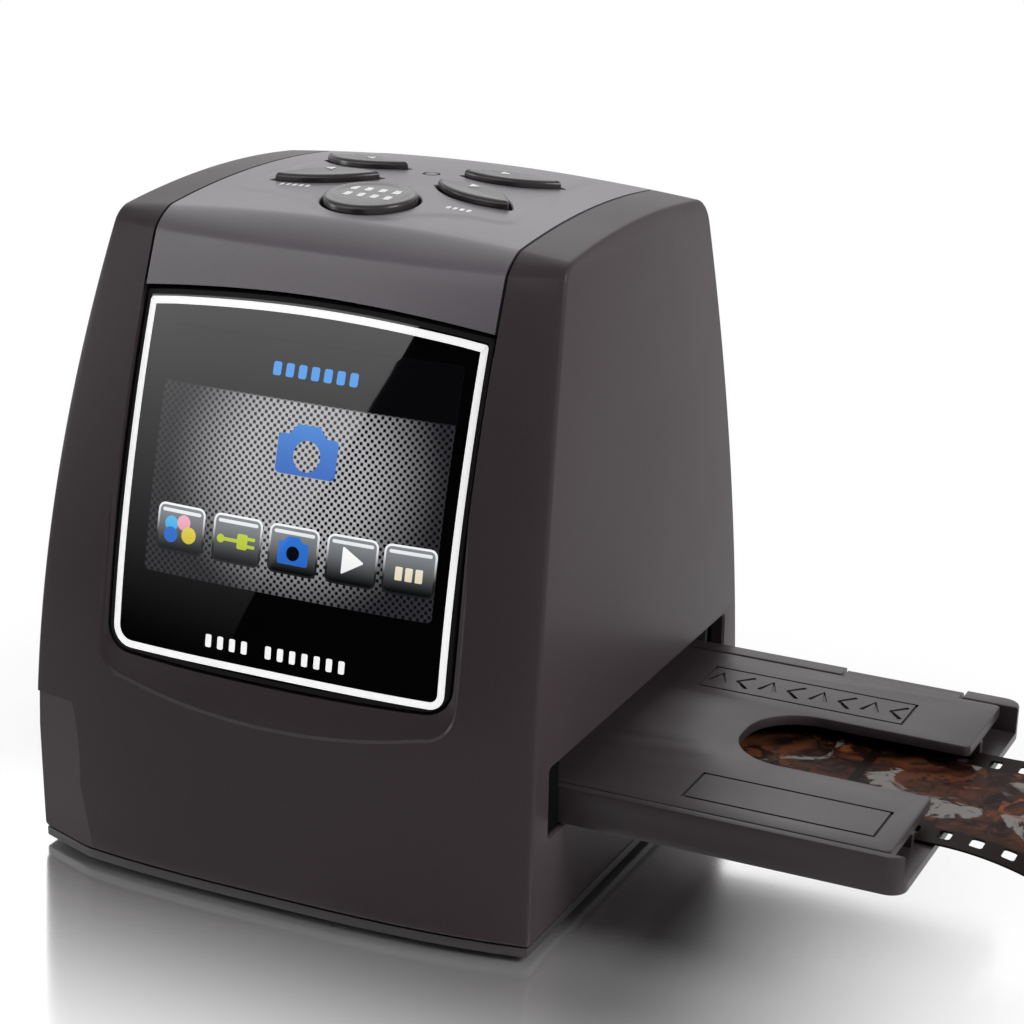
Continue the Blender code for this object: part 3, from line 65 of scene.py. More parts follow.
# The camera stands where the photographer stood: right of the front, a little above the top
camera = {"turn": 23.8865, "rise": 18.3869, "roll": 2.0017, "distance": 410.1, "aim": (17.8, 0.0, 51.3),
    "lens": 92.905, "sensor": 36.0}
turn = math.radians(camera["turn"])
rise = math.radians(camera["rise"])
back = Vector((math.sin(turn) * math.cos(rise), -math.cos(turn) * math.cos(rise), math.sin(rise)))
right = Vector((math.cos(turn), math.sin(turn), 0))
rolled = Matrix((right, back.cross(right), back)).transposed()
rolled @= Matrix.Rotation(math.radians(camera["roll"]), 3, "Z")
place = Vector(camera["aim"]) + back * camera["distance"]
data = bpy.data.cameras.new("studioCamera")
data.lens = camera["lens"]
data.sensor_width = camera["sensor"]
bpy.context.scene.camera = addPiece("studioCamera", data)
bpy.context.scene.camera.matrix_world = Matrix.Translation(place * mm) @ rolled.to_4x4()
print("camera placed")


# Colours are written as they look on screen
def fromHex(code):
    channels = [int(code[index : index + 2], 16) / 255 for index in (1, 3, 5)]
    linear = [c / 12.92 if c <= 0.04045 else ((c + 0.055) / 1.055) ** 2.4 for c in channels]
    return (*linear, 1.0)


def newMaterial(name):
    # An empty material, and the place on the object that its patterns follow
    material = bpy.data.materials.new(name)
    material.use_nodes = True
    material.node_tree.nodes.clear()
    return material, addNode(material, "TexCoord").outputs["Object"]


def addNode(material, kind, inputs=None, **settings):
    # One node with its settings, its values, and the nodes or sockets that feed it
    node = material.node_tree.nodes.new("ShaderNode" + kind)
    for name, value in settings.items():
        setattr(node, name, value)
    for key, value in (inputs or {}).items():
        if isinstance(value, bpy.types.Node):
            value = next(output for output in value.outputs if output.enabled)
        if isinstance(value, bpy.types.NodeSocket):
            material.node_tree.links.new(value, node.inputs[key])
        else:
            node.inputs[key].default_value = fromHex(value) if isinstance(value, str) else value
    return node


def addSurface(material, inputs):
    addNode(material, "OutputMaterial", {"Surface": addNode(material, "BsdfPrincipled", inputs)})
    return material


def evenly(start, end, parts):
    return [start + (end - start) * step / parts for step in range(parts + 1)]


def perMetre(size):
    # How often a pattern of this size in millimetres repeats in a metre
    return 1 / (size * mm)


def mouldedPlastic(name, colour, deep, grain, clouds, roughness, spread, bump, depth, specular=0.5, coat=0.0,
    coatRoughness=0.05, ior=1.53, glow=0.0):
    # Fine spark-eroded grain in the gloss and the bump, and slow, faint clouds in the colour
    material, place = newMaterial(name)
    sparks = addNode(material, "TexNoise",
        {"Vector": place, "Scale": perMetre(grain), "Detail": 3.0, "Roughness": 0.6})
    slow = addNode(material, "TexNoise", {"Vector": place, "Scale": perMetre(clouds), "Detail": 2.0})
    speckle = addNode(material, "MapRange", {"Value": sparks, "From Min": 0.3, "From Max": 0.7})
    tone = addNode(material, "Mix", {0: speckle, 6: deep, 7: colour}, data_type="RGBA")
    faded = addNode(material, "Mix", {0: slow, 6: tone, 7: colour}, data_type="RGBA")
    gloss = addNode(material, "MapRange",
        {"Value": slow, "From Min": 0.3, "From Max": 0.7, "To Min": roughness - spread,
            "To Max": roughness + spread})
    relief = addNode(material, "Bump", {"Strength": bump, "Distance": depth * mm, "Height": sparks})
    return addSurface(material,
        {"Base Color": faded, "Roughness": gloss, "Normal": relief, "IOR": ior, "Coat Weight": coat,
            "Coat Roughness": coatRoughness, "Specular IOR Level": specular, "Emission Color": colour,
            "Emission Strength": glow})


# ABS moulded in a spark-eroded tool: a warm charcoal that stays matte, with a soft sheen at the bends
texturedAbs = mouldedPlastic("texturedAbs", colour="#40383b", deep="#383134", grain=0.35, clouds=26,
    roughness=0.42, spread=0.03, bump=0.35, depth=0.03, specular=0.06, coat=0.08, coatRoughness=0.2)
# ABS from a finer, polished tool: the middle strip is greyer and holds a wide satin highlight
satinAbs = mouldedPlastic("satinAbs", colour="#5c565d", deep="#524d53", grain=0.3, clouds=30, roughness=0.36,
    spread=0.03, bump=0.25, depth=0.02, specular=0.38)
# ABS of the base: darker and rougher than the housing above it
baseAbs = mouldedPlastic("baseAbs", colour="#2f2b2c", deep="#282425", grain=0.45, clouds=18, roughness=0.55,
    spread=0.04, bump=0.4, depth=0.04)
# ABS of the carrier: the same charcoal in a duller, finer grain that fingers polish a little
carrierAbs = mouldedPlastic("carrierAbs", colour="#362f32", deep="#2e282a", grain=0.3, clouds=14,
    roughness=0.36, spread=0.05, bump=0.3, depth=0.03, specular=0.25)
# ABS with a polished face: button caps that mirror the light at their edges
glossyAbs = mouldedPlastic("glossyAbs", colour="#322d2e", deep="#2e292a", grain=0.6, clouds=9,
    roughness=0.24, spread=0.02, bump=0.05, depth=0.01, specular=0.25)
# Glass-filled nylon, natural white: the switch plungers look milky and slightly waxy
naturalNylon = mouldedPlastic("naturalNylon", colour="#ddd8cc", deep="#d2ccbd", grain=0.5, clouds=4,
    roughness=0.42, spread=0.03, bump=0.1, depth=0.01)
# Black ABS inside the machine: flat and dull, so that no stray light reaches the film
innerAbs = mouldedPlastic("innerAbs", colour="#161617", deep="#111112", grain=0.5, clouds=12, roughness=0.7,
    spread=0.05, bump=0.4, depth=0.04)
# Black flocked foam as painted shade: a sheet at the slot that swallows whatever falls on it, standing in for
# the dark inside of the slot
sealFoam = mouldedPlastic("sealFoam", colour="#060606", deep="#030303", grain=0.4, clouds=6, roughness=0.95,
    spread=0.03, bump=0.5, depth=0.06, specular=0.05)
# Dull black ring behind the window's edge, in which nothing is mirrored: painted shade where the gap round
# the glass lies dark
maskInk = mouldedPlastic("maskInk", colour="#09090a", deep="#060607", grain=0.3, clouds=8, roughness=0.6,
    spread=0.04, bump=0.1, depth=0.01, specular=0.1)
# White ABS of the light box: bright and soft, it scatters the light about
whiteAbs = mouldedPlastic("whiteAbs", colour="#f1f0ee", deep="#e8e6e3", grain=0.4, clouds=10, roughness=0.55,
    spread=0.04, bump=0.2, depth=0.02)
# Silicone rubber: the feet are black, dull and slightly dusty
siliconeRubber = mouldedPlastic("siliconeRubber", colour="#242323", deep="#1b1a1a", grain=0.25, clouds=3,
    roughness=0.82, spread=0.06, bump=0.5, depth=0.03, ior=1.43)
# Epoxy moulding compound: chips and switch bodies are black with a sandy, dry face
epoxyMoulding = mouldedPlastic("epoxyMoulding", colour="#232324", deep="#1a1a1b", grain=0.12, clouds=3,
    roughness=0.62, spread=0.05, bump=0.4, depth=0.01)
# Printing ink, screen printed in white: flat, even and a little chalky beside the gloss round it
screenInk = mouldedPlastic("screenInk", colour="#f4f3f2", deep="#ebeaea", grain=0.2, clouds=8, roughness=0.4,
    spread=0.03, bump=0.05, depth=0.005)
# The same ink behind clear acrylic, with a painted glow on its pure, even white so that it looks lit next to
# the black round it
lensInk = mouldedPlastic("lensInk", colour="#f8f8f8", deep="#f2f2f3", grain=0.2, clouds=8, roughness=0.12,
    spread=0.02, bump=0.02, depth=0.005, glow=0.5)
# Cast acrylic with black printed behind it: a deep black under a sharp, wet gloss
blackAcrylic = mouldedPlastic("blackAcrylic", colour="#070708", deep="#050506", grain=3.0, clouds=40,
    roughness=0.022, spread=0.004, bump=0.02, depth=0.01, ior=1.49)
print("plastics mixed")


def plainMetal(name, colour, deep, grain, stretch, roughness, spread):
    # Metal with fine tool lines or crystal specks in its gloss
    material, place = newMaterial(name)
    stretched = addNode(material, "Mapping", {"Vector": place, "Scale": stretch})
    lines = addNode(material, "TexNoise", {"Vector": stretched, "Scale": perMetre(grain), "Detail": 3.0})
    tone = addNode(material, "Mix", {0: lines, 6: deep, 7: colour}, data_type="RGBA")
    gloss = addNode(material, "MapRange",
        {"Value": lines, "From Min": 0.3, "From Max": 0.7, "To Min": roughness - spread,
            "To Max": roughness + spread})
    relief = addNode(material, "Bump", {"Strength": 0.2, "Distance": 0.01 * mm, "Height": lines})
    return addSurface(material, {"Base Color": tone, "Metallic": 1.0, "Roughness": gloss, "Normal": relief})


# Zinc-plated steel, turned: screws and the hinge pin are bluish grey with fine lines round them
zincSteel = plainMetal("zincSteel", colour="#c3c6c9", deep="#9fa3a7", grain=0.2, stretch=(1, 1, 6),
    roughness=0.3, spread=0.08)
# Tin-plated steel, pressed from sheet: sockets and the screen's tray are bright and slightly cloudy
tinPlate = plainMetal("tinPlate", colour="#d3d3d0", deep="#b9b9b6", grain=0.6, stretch=(1, 1, 1),
    roughness=0.26, spread=0.07)
# Gold flash over nickel: the contacts in the sockets shine yellow
goldFlash = plainMetal("goldFlash", colour="#e6c36a", deep="#cfa64b", grain=0.3, stretch=(1, 4, 1),
    roughness=0.2, spread=0.05)
# Anodised aluminium, turned: the lens barrel is black with a faint silky ring pattern
blackAnodised = plainMetal("blackAnodised", colour="#2c2d30", deep="#1d1e20", grain=0.3, stretch=(1, 1, 10),
    roughness=0.36, spread=0.06)


def circuitBoard(name, mask, copper, trace):
    # Solder mask over copper: traces show as slightly lighter straight runs under the green lacquer
    material, place = newMaterial(name)
    cells = addNode(material, "TexVoronoi", {"Vector": place, "Scale": perMetre(trace), "Randomness": 0.55},
        distance="CHEBYCHEV", feature="F1")
    runs = addNode(material, "MapRange", {"Value": cells, "From Min": 0.34, "From Max": 0.4})
    tone = addNode(material, "Mix", {0: runs, 6: mask, 7: copper}, data_type="RGBA")
    relief = addNode(material, "Bump", {"Strength": 0.3, "Distance": 0.03 * mm, "Height": runs})
    return addSurface(material, {"Base Color": tone, "Roughness": 0.32, "Normal": relief, "Coat Weight": 0.3})


# Glass-epoxy board under green solder mask: glossy green with lighter copper runs below
greenBoard = circuitBoard("greenBoard", mask="#0d4a26", copper="#1f6b39", trace=1.9)
# Aluminium-backed board under white solder mask: it throws the lamp's light forward
whiteBoard = circuitBoard("whiteBoard", mask="#e9e9e4", copper="#dcdcd4", trace=3.5)


def clearPiece(name, colour, deep, bloom, roughness, ior, clear, specular=0.5, glow=0.0):
    # Clear or tinted material that light passes through, with a faint bloom in its gloss
    material, place = newMaterial(name)
    haze = addNode(material, "TexNoise", {"Vector": place, "Scale": perMetre(bloom)})
    tone = addNode(material, "Mix", {0: haze, 6: deep, 7: colour}, data_type="RGBA")
    gloss = addNode(material, "MapRange", {"Value": haze, "To Min": roughness, "To Max": roughness + 0.03})
    return addSurface(material,
        {"Base Color": tone, "Roughness": gloss, "IOR": ior, "Transmission Weight": clear,
            "Specular IOR Level": specular, "Emission Color": colour, "Emission Strength": glow})


# Opal acrylic: the diffuser glows evenly and hides the lamp behind it
opalAcrylic = clearPiece("opalAcrylic", colour="#f7f7f4", deep="#eeeeea", bloom=5, roughness=0.3, ior=1.49,
    clear=0.15, glow=0.2)
# Ground optical glass with a coating: nearly clear, with a cold violet cast
coatedGlass = clearPiece("coatedGlass", colour="#d9dcf2", deep="#cfd0ea", bloom=6, roughness=0.02, ior=1.52,
    clear=0.9)
# Smoked acrylic: the status light's pipe looks almost black until it lights
smokedAcrylic = clearPiece("smokedAcrylic", colour="#2a1412", deep="#200f0e", bloom=2, roughness=0.1,
    ior=1.49, clear=0.2, specular=0.1)
# Phosphor in clear silicone: the emitters are a matte custard yellow
phosphorSilicone = clearPiece("phosphorSilicone", colour="#f0dd7c", deep="#e5cc60", bloom=0.6,
    roughness=0.45, ior=1.41, clear=0.05)
# Silicon die under cover glass: dark with a greenish mirror
sensorSilicon = clearPiece("sensorSilicon", colour="#24343a", deep="#1b272c", bloom=1, roughness=0.08,
    ior=1.6, clear=0.0)
# Polyimide film over copper: the ribbon cables are amber and slippery
polyimideFilm = clearPiece("polyimideFilm", colour="#b6732a", deep="#a2611f", bloom=2, roughness=0.28,
    ior=1.7, clear=0.0)
print("metals, boards and clear materials mixed")


def litScreen(name, dotPitch, brightest, core, edge, bright, dim, hole, barBottom, barFade, bar):
    # Backlit picture under glass: it glows by itself and still mirrors the room
    material, place = newMaterial(name)
    parts = addNode(material, "SeparateXYZ", {"Vector": place})
    waves = []
    for axis in ("X", "Z"):
        turns = addNode(material, "Math", {0: parts.outputs[axis], 1: 2 * math.pi * perMetre(dotPitch)},
            operation="MULTIPLY")
        waves.append(addNode(material, "Math", {0: turns}, operation="COSINE"))
    weave = addNode(material, "Math", {0: waves[0], 1: waves[1]}, operation="MULTIPLY")
    holes = addNode(material, "MapRange", {"Value": weave, "From Min": -0.1, "From Max": 0.45})
    away = addNode(material, "VectorMath", {0: place, 1: Vector(brightest) * mm}, operation="DISTANCE")
    fall = addNode(material, "MapRange", {"Value": away, "From Min": core * mm, "From Max": edge * mm},
        interpolation_type="SMOOTHSTEP")
    mesh = addNode(material, "Mix", {0: fall, 6: bright, 7: dim}, data_type="RGBA")
    dotted = addNode(material, "Mix", {0: holes, 6: mesh, 7: hole}, data_type="RGBA")
    above = addNode(material, "MapRange",
        {"Value": parts.outputs["Z"], "From Min": barBottom * mm, "From Max": (barBottom + barFade) * mm})
    picture = addNode(material, "Mix", {0: above, 6: dotted, 7: bar}, data_type="RGBA")
    return litPatch(material, picture, 1.0)


def litPatch(material, picture, strength):
    # What lies under the glass shines by itself and has the glass's own gloss
    return addSurface(material,
        {"Base Color": (0.0, 0.0, 0.0, 1.0), "Roughness": 0.03, "IOR": 1.49, "Emission Color": picture,
            "Emission Strength": strength})


# The body leans back: one side profile, crowned across on the front, the top and the back
body = {"width": 83.8, "depth": 86.2, "height": 99.5, "belly": 12.0, "sideDraw": 5.6, "frontRake": 17.6,
    "backRake": 14.3, "backPower": 1.2, "topFall": 4.4, "topPeak": 1.0, "frontBulge": 3.3, "backBulge": 1.2,
    "topBulge": 1.9, "frontBend": 3.8, "backBend": 4.8, "edge": 0.6, "wall": 2.2, "gap": 0.3, "foot": 1.7,
    "columns": 54, "rows": 44, "topRows": 26, "bendRows": 9, "reach": 20.0}


def riseShare(z):
    return max(0.0, z - body["belly"]) / (body["height"] - body["belly"])


def sideLine(z):
    return body["width"] / 2 - body["sideDraw"] * riseShare(z) ** 2


def frontLine(z):
    return -body["depth"] / 2 + body["frontRake"] * riseShare(z) ** 2


def backLine(z):
    return body["depth"] / 2 - body["backRake"] * (max(0.0, z) / body["height"]) ** body["backPower"]


def topLine(y):
    return body["height"] - body["topFall"] * ((y - body["topPeak"]) / (body["depth"] / 2)) ** 2


def frontCrown(share):
    return body["frontBulge"] * (1 - abs(share) ** 3)


def topCrown(share):
    return body["topBulge"] * (1 - share**2)


def backCrown(share):
    return body["backBulge"] * (1 - share**2)


def frontSurface(x, z):
    return frontLine(z) - frontCrown(x / sideLine(z))


def backSurface(x, z):
    return backLine(z) + backCrown(x / sideLine(z))


def topSurface(x, y):
    return topLine(y) + topCrown(x / sideLine(body["height"]))


# Places on the body: across, up and out of the surface
def onTop(u, v, lift):
    return (u, v, topSurface(u, v) + lift)


def onFront(u, v, lift):
    return (u, frontSurface(u, v) - lift, v)


def onBack(u, v, lift):
    return (u, backSurface(u, v) + lift, v)


def onRight(u, v, lift):
    return (sideLine(v) + lift, u, v)


def onLeft(u, v, lift):
    return (-sideLine(v) - lift, u, v)


def flat(u, v, lift):
    return (u, v, lift)


def forward(u, v, lift):
    # In the plane of the front, and towards it from the middle of the body
    return (u, -lift, v)


def cornerOf(line, inset, inward):
    z = body["height"]
    for _ in range(20):
        y = line(z) + inward * inset
        z = topLine(y) - inset
    return Vector((y, z))


def bendPoints(corner, before, after, radius, steps):
    # The arc that rounds a corner between two directions
    turn = before.angle(after)
    start = corner - before * radius * math.tan(turn / 2)
    side = Vector((-before.y, before.x))
    if side.dot(after) < 0:
        side = -side
    centre = start + side * radius
    sign = 1 if before.x * after.y - before.y * after.x > 0 else -1
    return [(centre + Matrix.Rotation(sign * turn * step / steps, 2) @ (start - centre), step / steps)
        for step in range(steps + 1)]


def bodyProfile(inset, bottom, detail):
    # (y, z, front share, top share, back share) from the front foot over the top to the back foot
    probe = body["wall"]
    least = 0.6  # the tightest bend
    bends = max(2, round(body["bendRows"] * detail))
    rows = max(4, round(body["rows"] * detail))
    topRows = max(4, round(body["topRows"] * detail))
    frontCorner = cornerOf(frontLine, inset, 1)
    backCorner = cornerOf(backLine, inset, -1)

    def heading(place, start, end):
        return (Vector(place(end)) - Vector(place(start))).normalized()

    frontUp = heading(lambda z: (frontLine(z), z), frontCorner.y - probe, frontCorner.y)
    topStart = heading(lambda y: (y, topLine(y)), frontCorner.x, frontCorner.x + probe)
    topEnd = heading(lambda y: (y, topLine(y)), backCorner.x - probe, backCorner.x)
    backDown = heading(lambda z: (backLine(z), z), backCorner.y, backCorner.y - probe)
    frontBend = bendPoints(frontCorner, frontUp, topStart, max(body["frontBend"] - inset, least), bends)
    backBend = bendPoints(backCorner, topEnd, backDown, max(body["backBend"] - inset, least), bends)
    shoulder = min(frontBend[0][0].y, backBend[-1][0].y) - least
    levels = evenly(bottom, shoulder, rows)
    profile = [(frontLine(z) + inset, z, 1, 0, 0) for z in levels]
    for point, share in frontBend:
        facing = math.cos(share * math.pi / 2) ** 2
        profile.append((point.x, point.y, facing, 1 - facing, 0))
    for y in evenly(frontBend[-1][0].x, backBend[0][0].x, topRows)[1:-1]:
        profile.append((y, topLine(y) - inset, 0, 1, 0))
    for point, share in backBend:
        facing = math.cos(share * math.pi / 2) ** 2
        profile.append((point.x, point.y, 0, facing, 1 - facing))
    profile += [(backLine(z) - inset, z, 0, 0, 1) for z in reversed(levels)]
    return profile, rows


def profilePoint(level, x, inset=0.0):
    # Where the profile stands at a distance x from the middle
    y, z, front, top, back = level
    share = x / (sideLine(z) - inset)
    return Vector((x, y - front * frontCrown(share) + back * backCrown(share), z + top * topCrown(share)))


def smoothMesh(mesh, angle=32):
    mesh.shade_smooth()
    mesh.set_sharp_from_angle(angle=math.radians(angle))


def finishMesh(name, bm):
    # The drawn shape, turned to metres and put into the scene
    bmesh.ops.recalc_face_normals(bm, faces=bm.faces)
    bmesh.ops.scale(bm, vec=(mm, mm, mm), verts=bm.verts)
    mesh = bpy.data.meshes.new(name)
    bm.to_mesh(mesh)
    bm.free()
    smoothMesh(mesh)
    return addPiece(name, mesh)


def bodySolid(name, inset=0.0, bottom=0.0, detail=1.0):
    profile, rows = bodyProfile(inset, bottom, detail)
    columns = max(8, round(body["columns"] * detail))
    bm = bmesh.new()
    grid = []
    for level in profile:
        half = sideLine(level[1]) - inset
        shares = [2 * column / columns - 1 for column in range(columns + 1)]
        grid.append([bm.verts.new(profilePoint(level, share * half, inset)) for share in shares])
    for lower, upper in zip(grid, grid[1:]):
        for column in range(columns):
            bm.faces.new((lower[column], lower[column + 1], upper[column + 1], upper[column]))
    last = len(grid) - 1
    for column in (0, columns):
        for row in range(rows):
            bm.faces.new((grid[row][column], grid[row + 1][column], grid[last - row - 1][column],
                    grid[last - row][column]))
        bm.faces.new([grid[row][column] for row in range(rows, last - rows + 1)])
    bm.faces.new(grid[0] + list(reversed(grid[last])))
    return finishMesh(name, bm)


def loftedSolid(name, loops, place, step=None, hollow=False):
    # A closed solid from matching loops of (u, v, lift), cut into strips so that it can follow a curved place
    bm = bmesh.new()
    rings = [[bm.verts.new(point) for point in loop] for loop in loops]
    pairs = list(zip(rings, rings[1:]))
    if hollow:
        pairs.append((rings[-1], rings[0]))
    for lower, upper in pairs:
        for index in range(len(lower)):
            after = (index + 1) % len(lower)
            bm.faces.new((lower[index], lower[after], upper[after], upper[index]))
    if not hollow:
        bm.faces.new(rings[0])
        bm.faces.new(rings[-1])
    if step:
        for axis in (0, 1):
            low = min(vert.co[axis] for vert in bm.verts)
            high = max(vert.co[axis] for vert in bm.verts)
            for line in range(math.floor(low / step) + 1, math.ceil(high / step)):
                normal = Vector((1 - axis, axis, 0))
                everything = bm.verts[:] + bm.edges[:] + bm.faces[:]
                bmesh.ops.bisect_plane(bm, geom=everything, plane_co=normal * line * step, plane_no=normal)
    for vert in bm.verts:
        vert.co = place(*vert.co)
    return finishMesh(name, bm)


def edgesOf(outline):
    return [(Vector(a), Vector(b)) for a, b in zip(outline, outline[1:] + outline[:1])]


def shifted(outline, inset):
    # The outline moved inwards, or outwards where the inset is negative
    count = len(outline)
    area = sum(a.x * b.y - b.x * a.y for a, b in edgesOf(outline))
    inward = 1 if area > 0 else -1
    moved = []
    for index, here in enumerate(outline):
        here = Vector(here)
        one = (here - Vector(outline[index - 1])).normalized()
        two = (Vector(outline[(index + 1) % count]) - here).normalized()
        across = Vector((-(one.y + two.y), one.x + two.x)).normalized()
        sharpness = max(0.5, math.sqrt(max(0.0, (1 + one.dot(two)) / 2)))
        moved.append(tuple(here + across * inward * inset / sharpness))
    return moved


def drapedSolid(name, outline, rings, place, step=None, hollow=False):
    # Rings are (inset, lift) pairs, from the foot up
    loops = [[(u, v, lift) for u, v in shifted(outline, inset)] for inset, lift in rings]
    return loftedSolid(name, loops, place, step, hollow)


def ease(piece, width, segments=3, angle=50):
    # Rounds the edges that turn by more than the angle
    bevel = piece.modifiers.new("ease", "BEVEL")
    bevel.width = width * mm
    bevel.segments = segments
    bevel.limit_method = "ANGLE"
    bevel.angle_limit = math.radians(angle)
    return bevel


def weld(piece):
    piece.modifiers.new("weld", "WELD").merge_threshold = 0.001 * mm


def combine(piece, tool, operation="DIFFERENCE"):
    modifier = piece.modifiers.new(tool.name, "BOOLEAN")
    modifier.operation = operation
    modifier.object = tool
    modifier.solver = "EXACT"


def settle(piece, angle=32):
    # Applies the piece's modifiers and removes the tools that they used
    tools = [modifier.object for modifier in piece.modifiers if modifier.type == "BOOLEAN"]
    graph = bpy.context.evaluated_depsgraph_get()
    mesh = bpy.data.meshes.new_from_object(piece.evaluated_get(graph))
    piece.modifiers.clear()
    piece.data = mesh
    for tool in set(tools):
        bpy.data.objects.remove(tool)
    smoothMesh(mesh, angle)


def rectangle(left, low, right, high):
    return [(left, low), (right, low), (right, high), (left, high)]


def prism(name, outline, low, high, place):
    return loftedSolid(name, [[(u, v, lift) for u, v in outline] for lift in (low, high)], place)


def boxSolid(name, low, high):
    # A plain box, used only to cut with
    return drapedSolid(name, rectangle(*low[:2], *high[:2]), [(0, low[2]), (0, high[2])], flat)


def circle(radius, middle=(0, 0), sides=48):
    turns = [2 * math.pi * side / sides for side in range(sides)]
    return [(middle[0] + radius * math.cos(turn), middle[1] + radius * math.sin(turn)) for turn in turns]


def roundedCorners(corners, steps=6):
    # Corners are (u, v, radius), each rounded by an arc
    outline = []
    for index, (u, v, radius) in enumerate(corners):
        corner = Vector((u, v))
        if radius == 0:
            outline.append((u, v))
            continue
        before = (corner - Vector(corners[index - 1][:2])).normalized()
        after = (Vector(corners[(index + 1) % len(corners)][:2]) - corner).normalized()
        outline += [tuple(point) for point, _ in bendPoints(corner, before, after, radius, steps)]
    return outline


def roundedBox(middle, width, height, radius):
    u, v = middle
    corners = rectangle(u - width / 2, v - height / 2, u + width / 2, v + height / 2)
    return roundedCorners([(*corner, radius) for corner in corners], 5)


def roundedField(low, high, radius):
    # The same from its lowest to its highest corner
    middle = ((low[0] + high[0]) / 2, (low[1] + high[1]) / 2)
    return roundedBox(middle, high[0] - low[0], high[1] - low[1], radius)


def arch(start, end, bulge, steps):
    # A parabola whose middle stands out by the bulge, to the left of travel
    start = Vector(start)
    along = Vector(end) - start
    out = Vector((-along.y, along.x)).normalized()
    shares = evenly(0, 1, steps)
    return [tuple(start + along * share + out * bulge * 4 * share * (1 - share)) for share in shares]


def softened(outline, rounds=2):
    # Cuts the corners off, which rounds the sharp ones and leaves the smooth stretches alone
    for _ in range(rounds):
        outline = [tuple(a.lerp(b, share)) for a, b in edgesOf(outline) for share in (0.25, 0.75)]
    return outline


def fineOutline(outline, step=1.5):
    # Adds points along the long edges
    fine = []
    for a, b in edgesOf(outline):
        parts = max(1, math.ceil((b - a).length / step))
        fine += [tuple(a.lerp(b, part / parts)) for part in range(parts)]
    return fine


def dress(piece, material, bodyName, slotName, *replaced):
    # Finish, the body that carries the piece, and the plain solids that it stands for
    piece.data.materials.clear()
    piece.data.materials.append(material)
    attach(piece, bodyName)
    if replaced:
        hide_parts(*replaced)


def barRow(name, place, material, slotName, lifts, bodyName="scanner", skip=None, **row):
    # A row of small plain bars
    places = [row["first"] + row["pitch"] * index for index in range(row["count"]) if index != skip]
    for number, u in enumerate(places, 1):
        bar = roundedBox((u, row["level"]), row["width"], row["height"], row["width"] / 4)
        piece = drapedSolid(name + str(number), bar, [(0, lifts[0]), (0, lifts[1])], place)
        dress(piece, material, bodyName, slotName)


print("drawing tools ready")

# Window: a shallow scoop in the housing, the glossy sheet in it and what is printed on that
window = {"half": 28.6, "bottom": 34.6, "top": 87.8, "arch": 2.0, "sag": 0.6, "corner": 4.2,
    "scoopDepth": 0.95, "scoopSide": 1.1, "scoopDrop": 2.7, "scoopSag": 2.3, "scoopCurve": 1.5,
    "lipNotch": 0.32, "lipOver": 0.1, "lipWidth": 0.45, "lensSink": 0.9, "lensThickness": 1.6, "rim": 0.25}


def windowFoot(grow, drop=0.0, sag=0.0):
    # From the left side down round the bowed foot and up to the right side
    half = window["half"] + grow
    radius = window["corner"] + grow
    foot = window["bottom"] - grow - drop
    run = half - radius

    def quarter(middle, start):
        turns = [start + math.pi / 2 * step / 8 for step in range(9)]
        return [(middle + radius * math.cos(turn), foot + radius + radius * math.sin(turn)) for turn in turns]

    bow = [(x, foot - (window["sag"] + sag) * (1 - (x / run) ** 2)) for x in evenly(-run, run, 30)[1:-1]]
    return quarter(radius - half, math.pi) + bow + quarter(half - radius, -math.pi / 2)


def archTop(x):
    return window["top"] + window["arch"] * (1 - (x / window["half"]) ** 2)


def lensOutline(grow):
    half = window["half"] + grow
    return fineOutline(windowFoot(grow) + [(x, archTop(x) + grow) for x in evenly(half, -half, 40)])


def groove(name, x, start, end, size):
    # A narrow, deep section swept over the body at one x, for the shadow line between two mouldings
    profile, _ = bodyProfile(0.0, body["foot"], 1.0)
    points = [profilePoint(level, x) for level in profile]
    points = points[start : len(points) - end]
    loops = []
    for index, point in enumerate(points):
        along = points[min(index + 1, len(points) - 1)] - points[max(index - 1, 0)]
        out = Vector((0, -along.z, along.y)).normalized()
        side = Vector((size, 0, 0))
        deep = -out * size * 5
        arms = (out + side, side + deep, deep - side, out - side)
        loops.append([point + arm for arm in arms])
    return loftedSolid(name, loops, flat)


def partingRows(height, front):
    # How many rows of the profile lie below a height
    profile, rows = bodyProfile(0.0, body["foot"], 1.0)
    column = profile[: rows + 1]
    return sum(1 for level in column if level[1] < height) - (1 if front else 0)


def addGrooves(piece, label, size=0.23):
    # Along both sides of the middle strip, from the window's top over the body and down the back
    start = partingRows(window["top"] - 1.0, True)
    end = partingRows(rear["bottom"], False)
    for side in (-1, 1):
        x = side * (window["half"] - body["gap"] / 2)
        combine(piece, groove(label + "Groove" + str(side), x, start, end, size))


innerBody = bodySolid("innerBody", body["wall"], -body["reach"], 0.5)
rear = {"bottom": 10.4, "top": 83.6}
slot = {"bottom": 16.8, "top": 27.4, "front": -37.5, "back": 34.4, "corner": 0.5, "bevel": 0.35}
facet = {"height": 25.0, "width": 12.0, "depth": 2.4, "topWidth": 7.4, "topDepth": 0.9}
bosses = {"sides": 24, "radius": 3.6, "bite": 0.5, "share": 0.56, "bottom": 2.9, "top": 15.3, "bore": 1.5,
    "reach": 14.4}


def insideTool():
    # A copy of the shell's inside, to cut with
    tool = innerBody.copy()
    bpy.context.scene.collection.objects.link(tool)
    return tool


def shell(name, edge=0):
    # The body's skin, whose outer edges are eased by so much
    piece = bodySolid(name, 0.0, body["foot"])
    if edge:
        ease(piece, edge, 5)
    combine(piece, insideTool())
    return piece


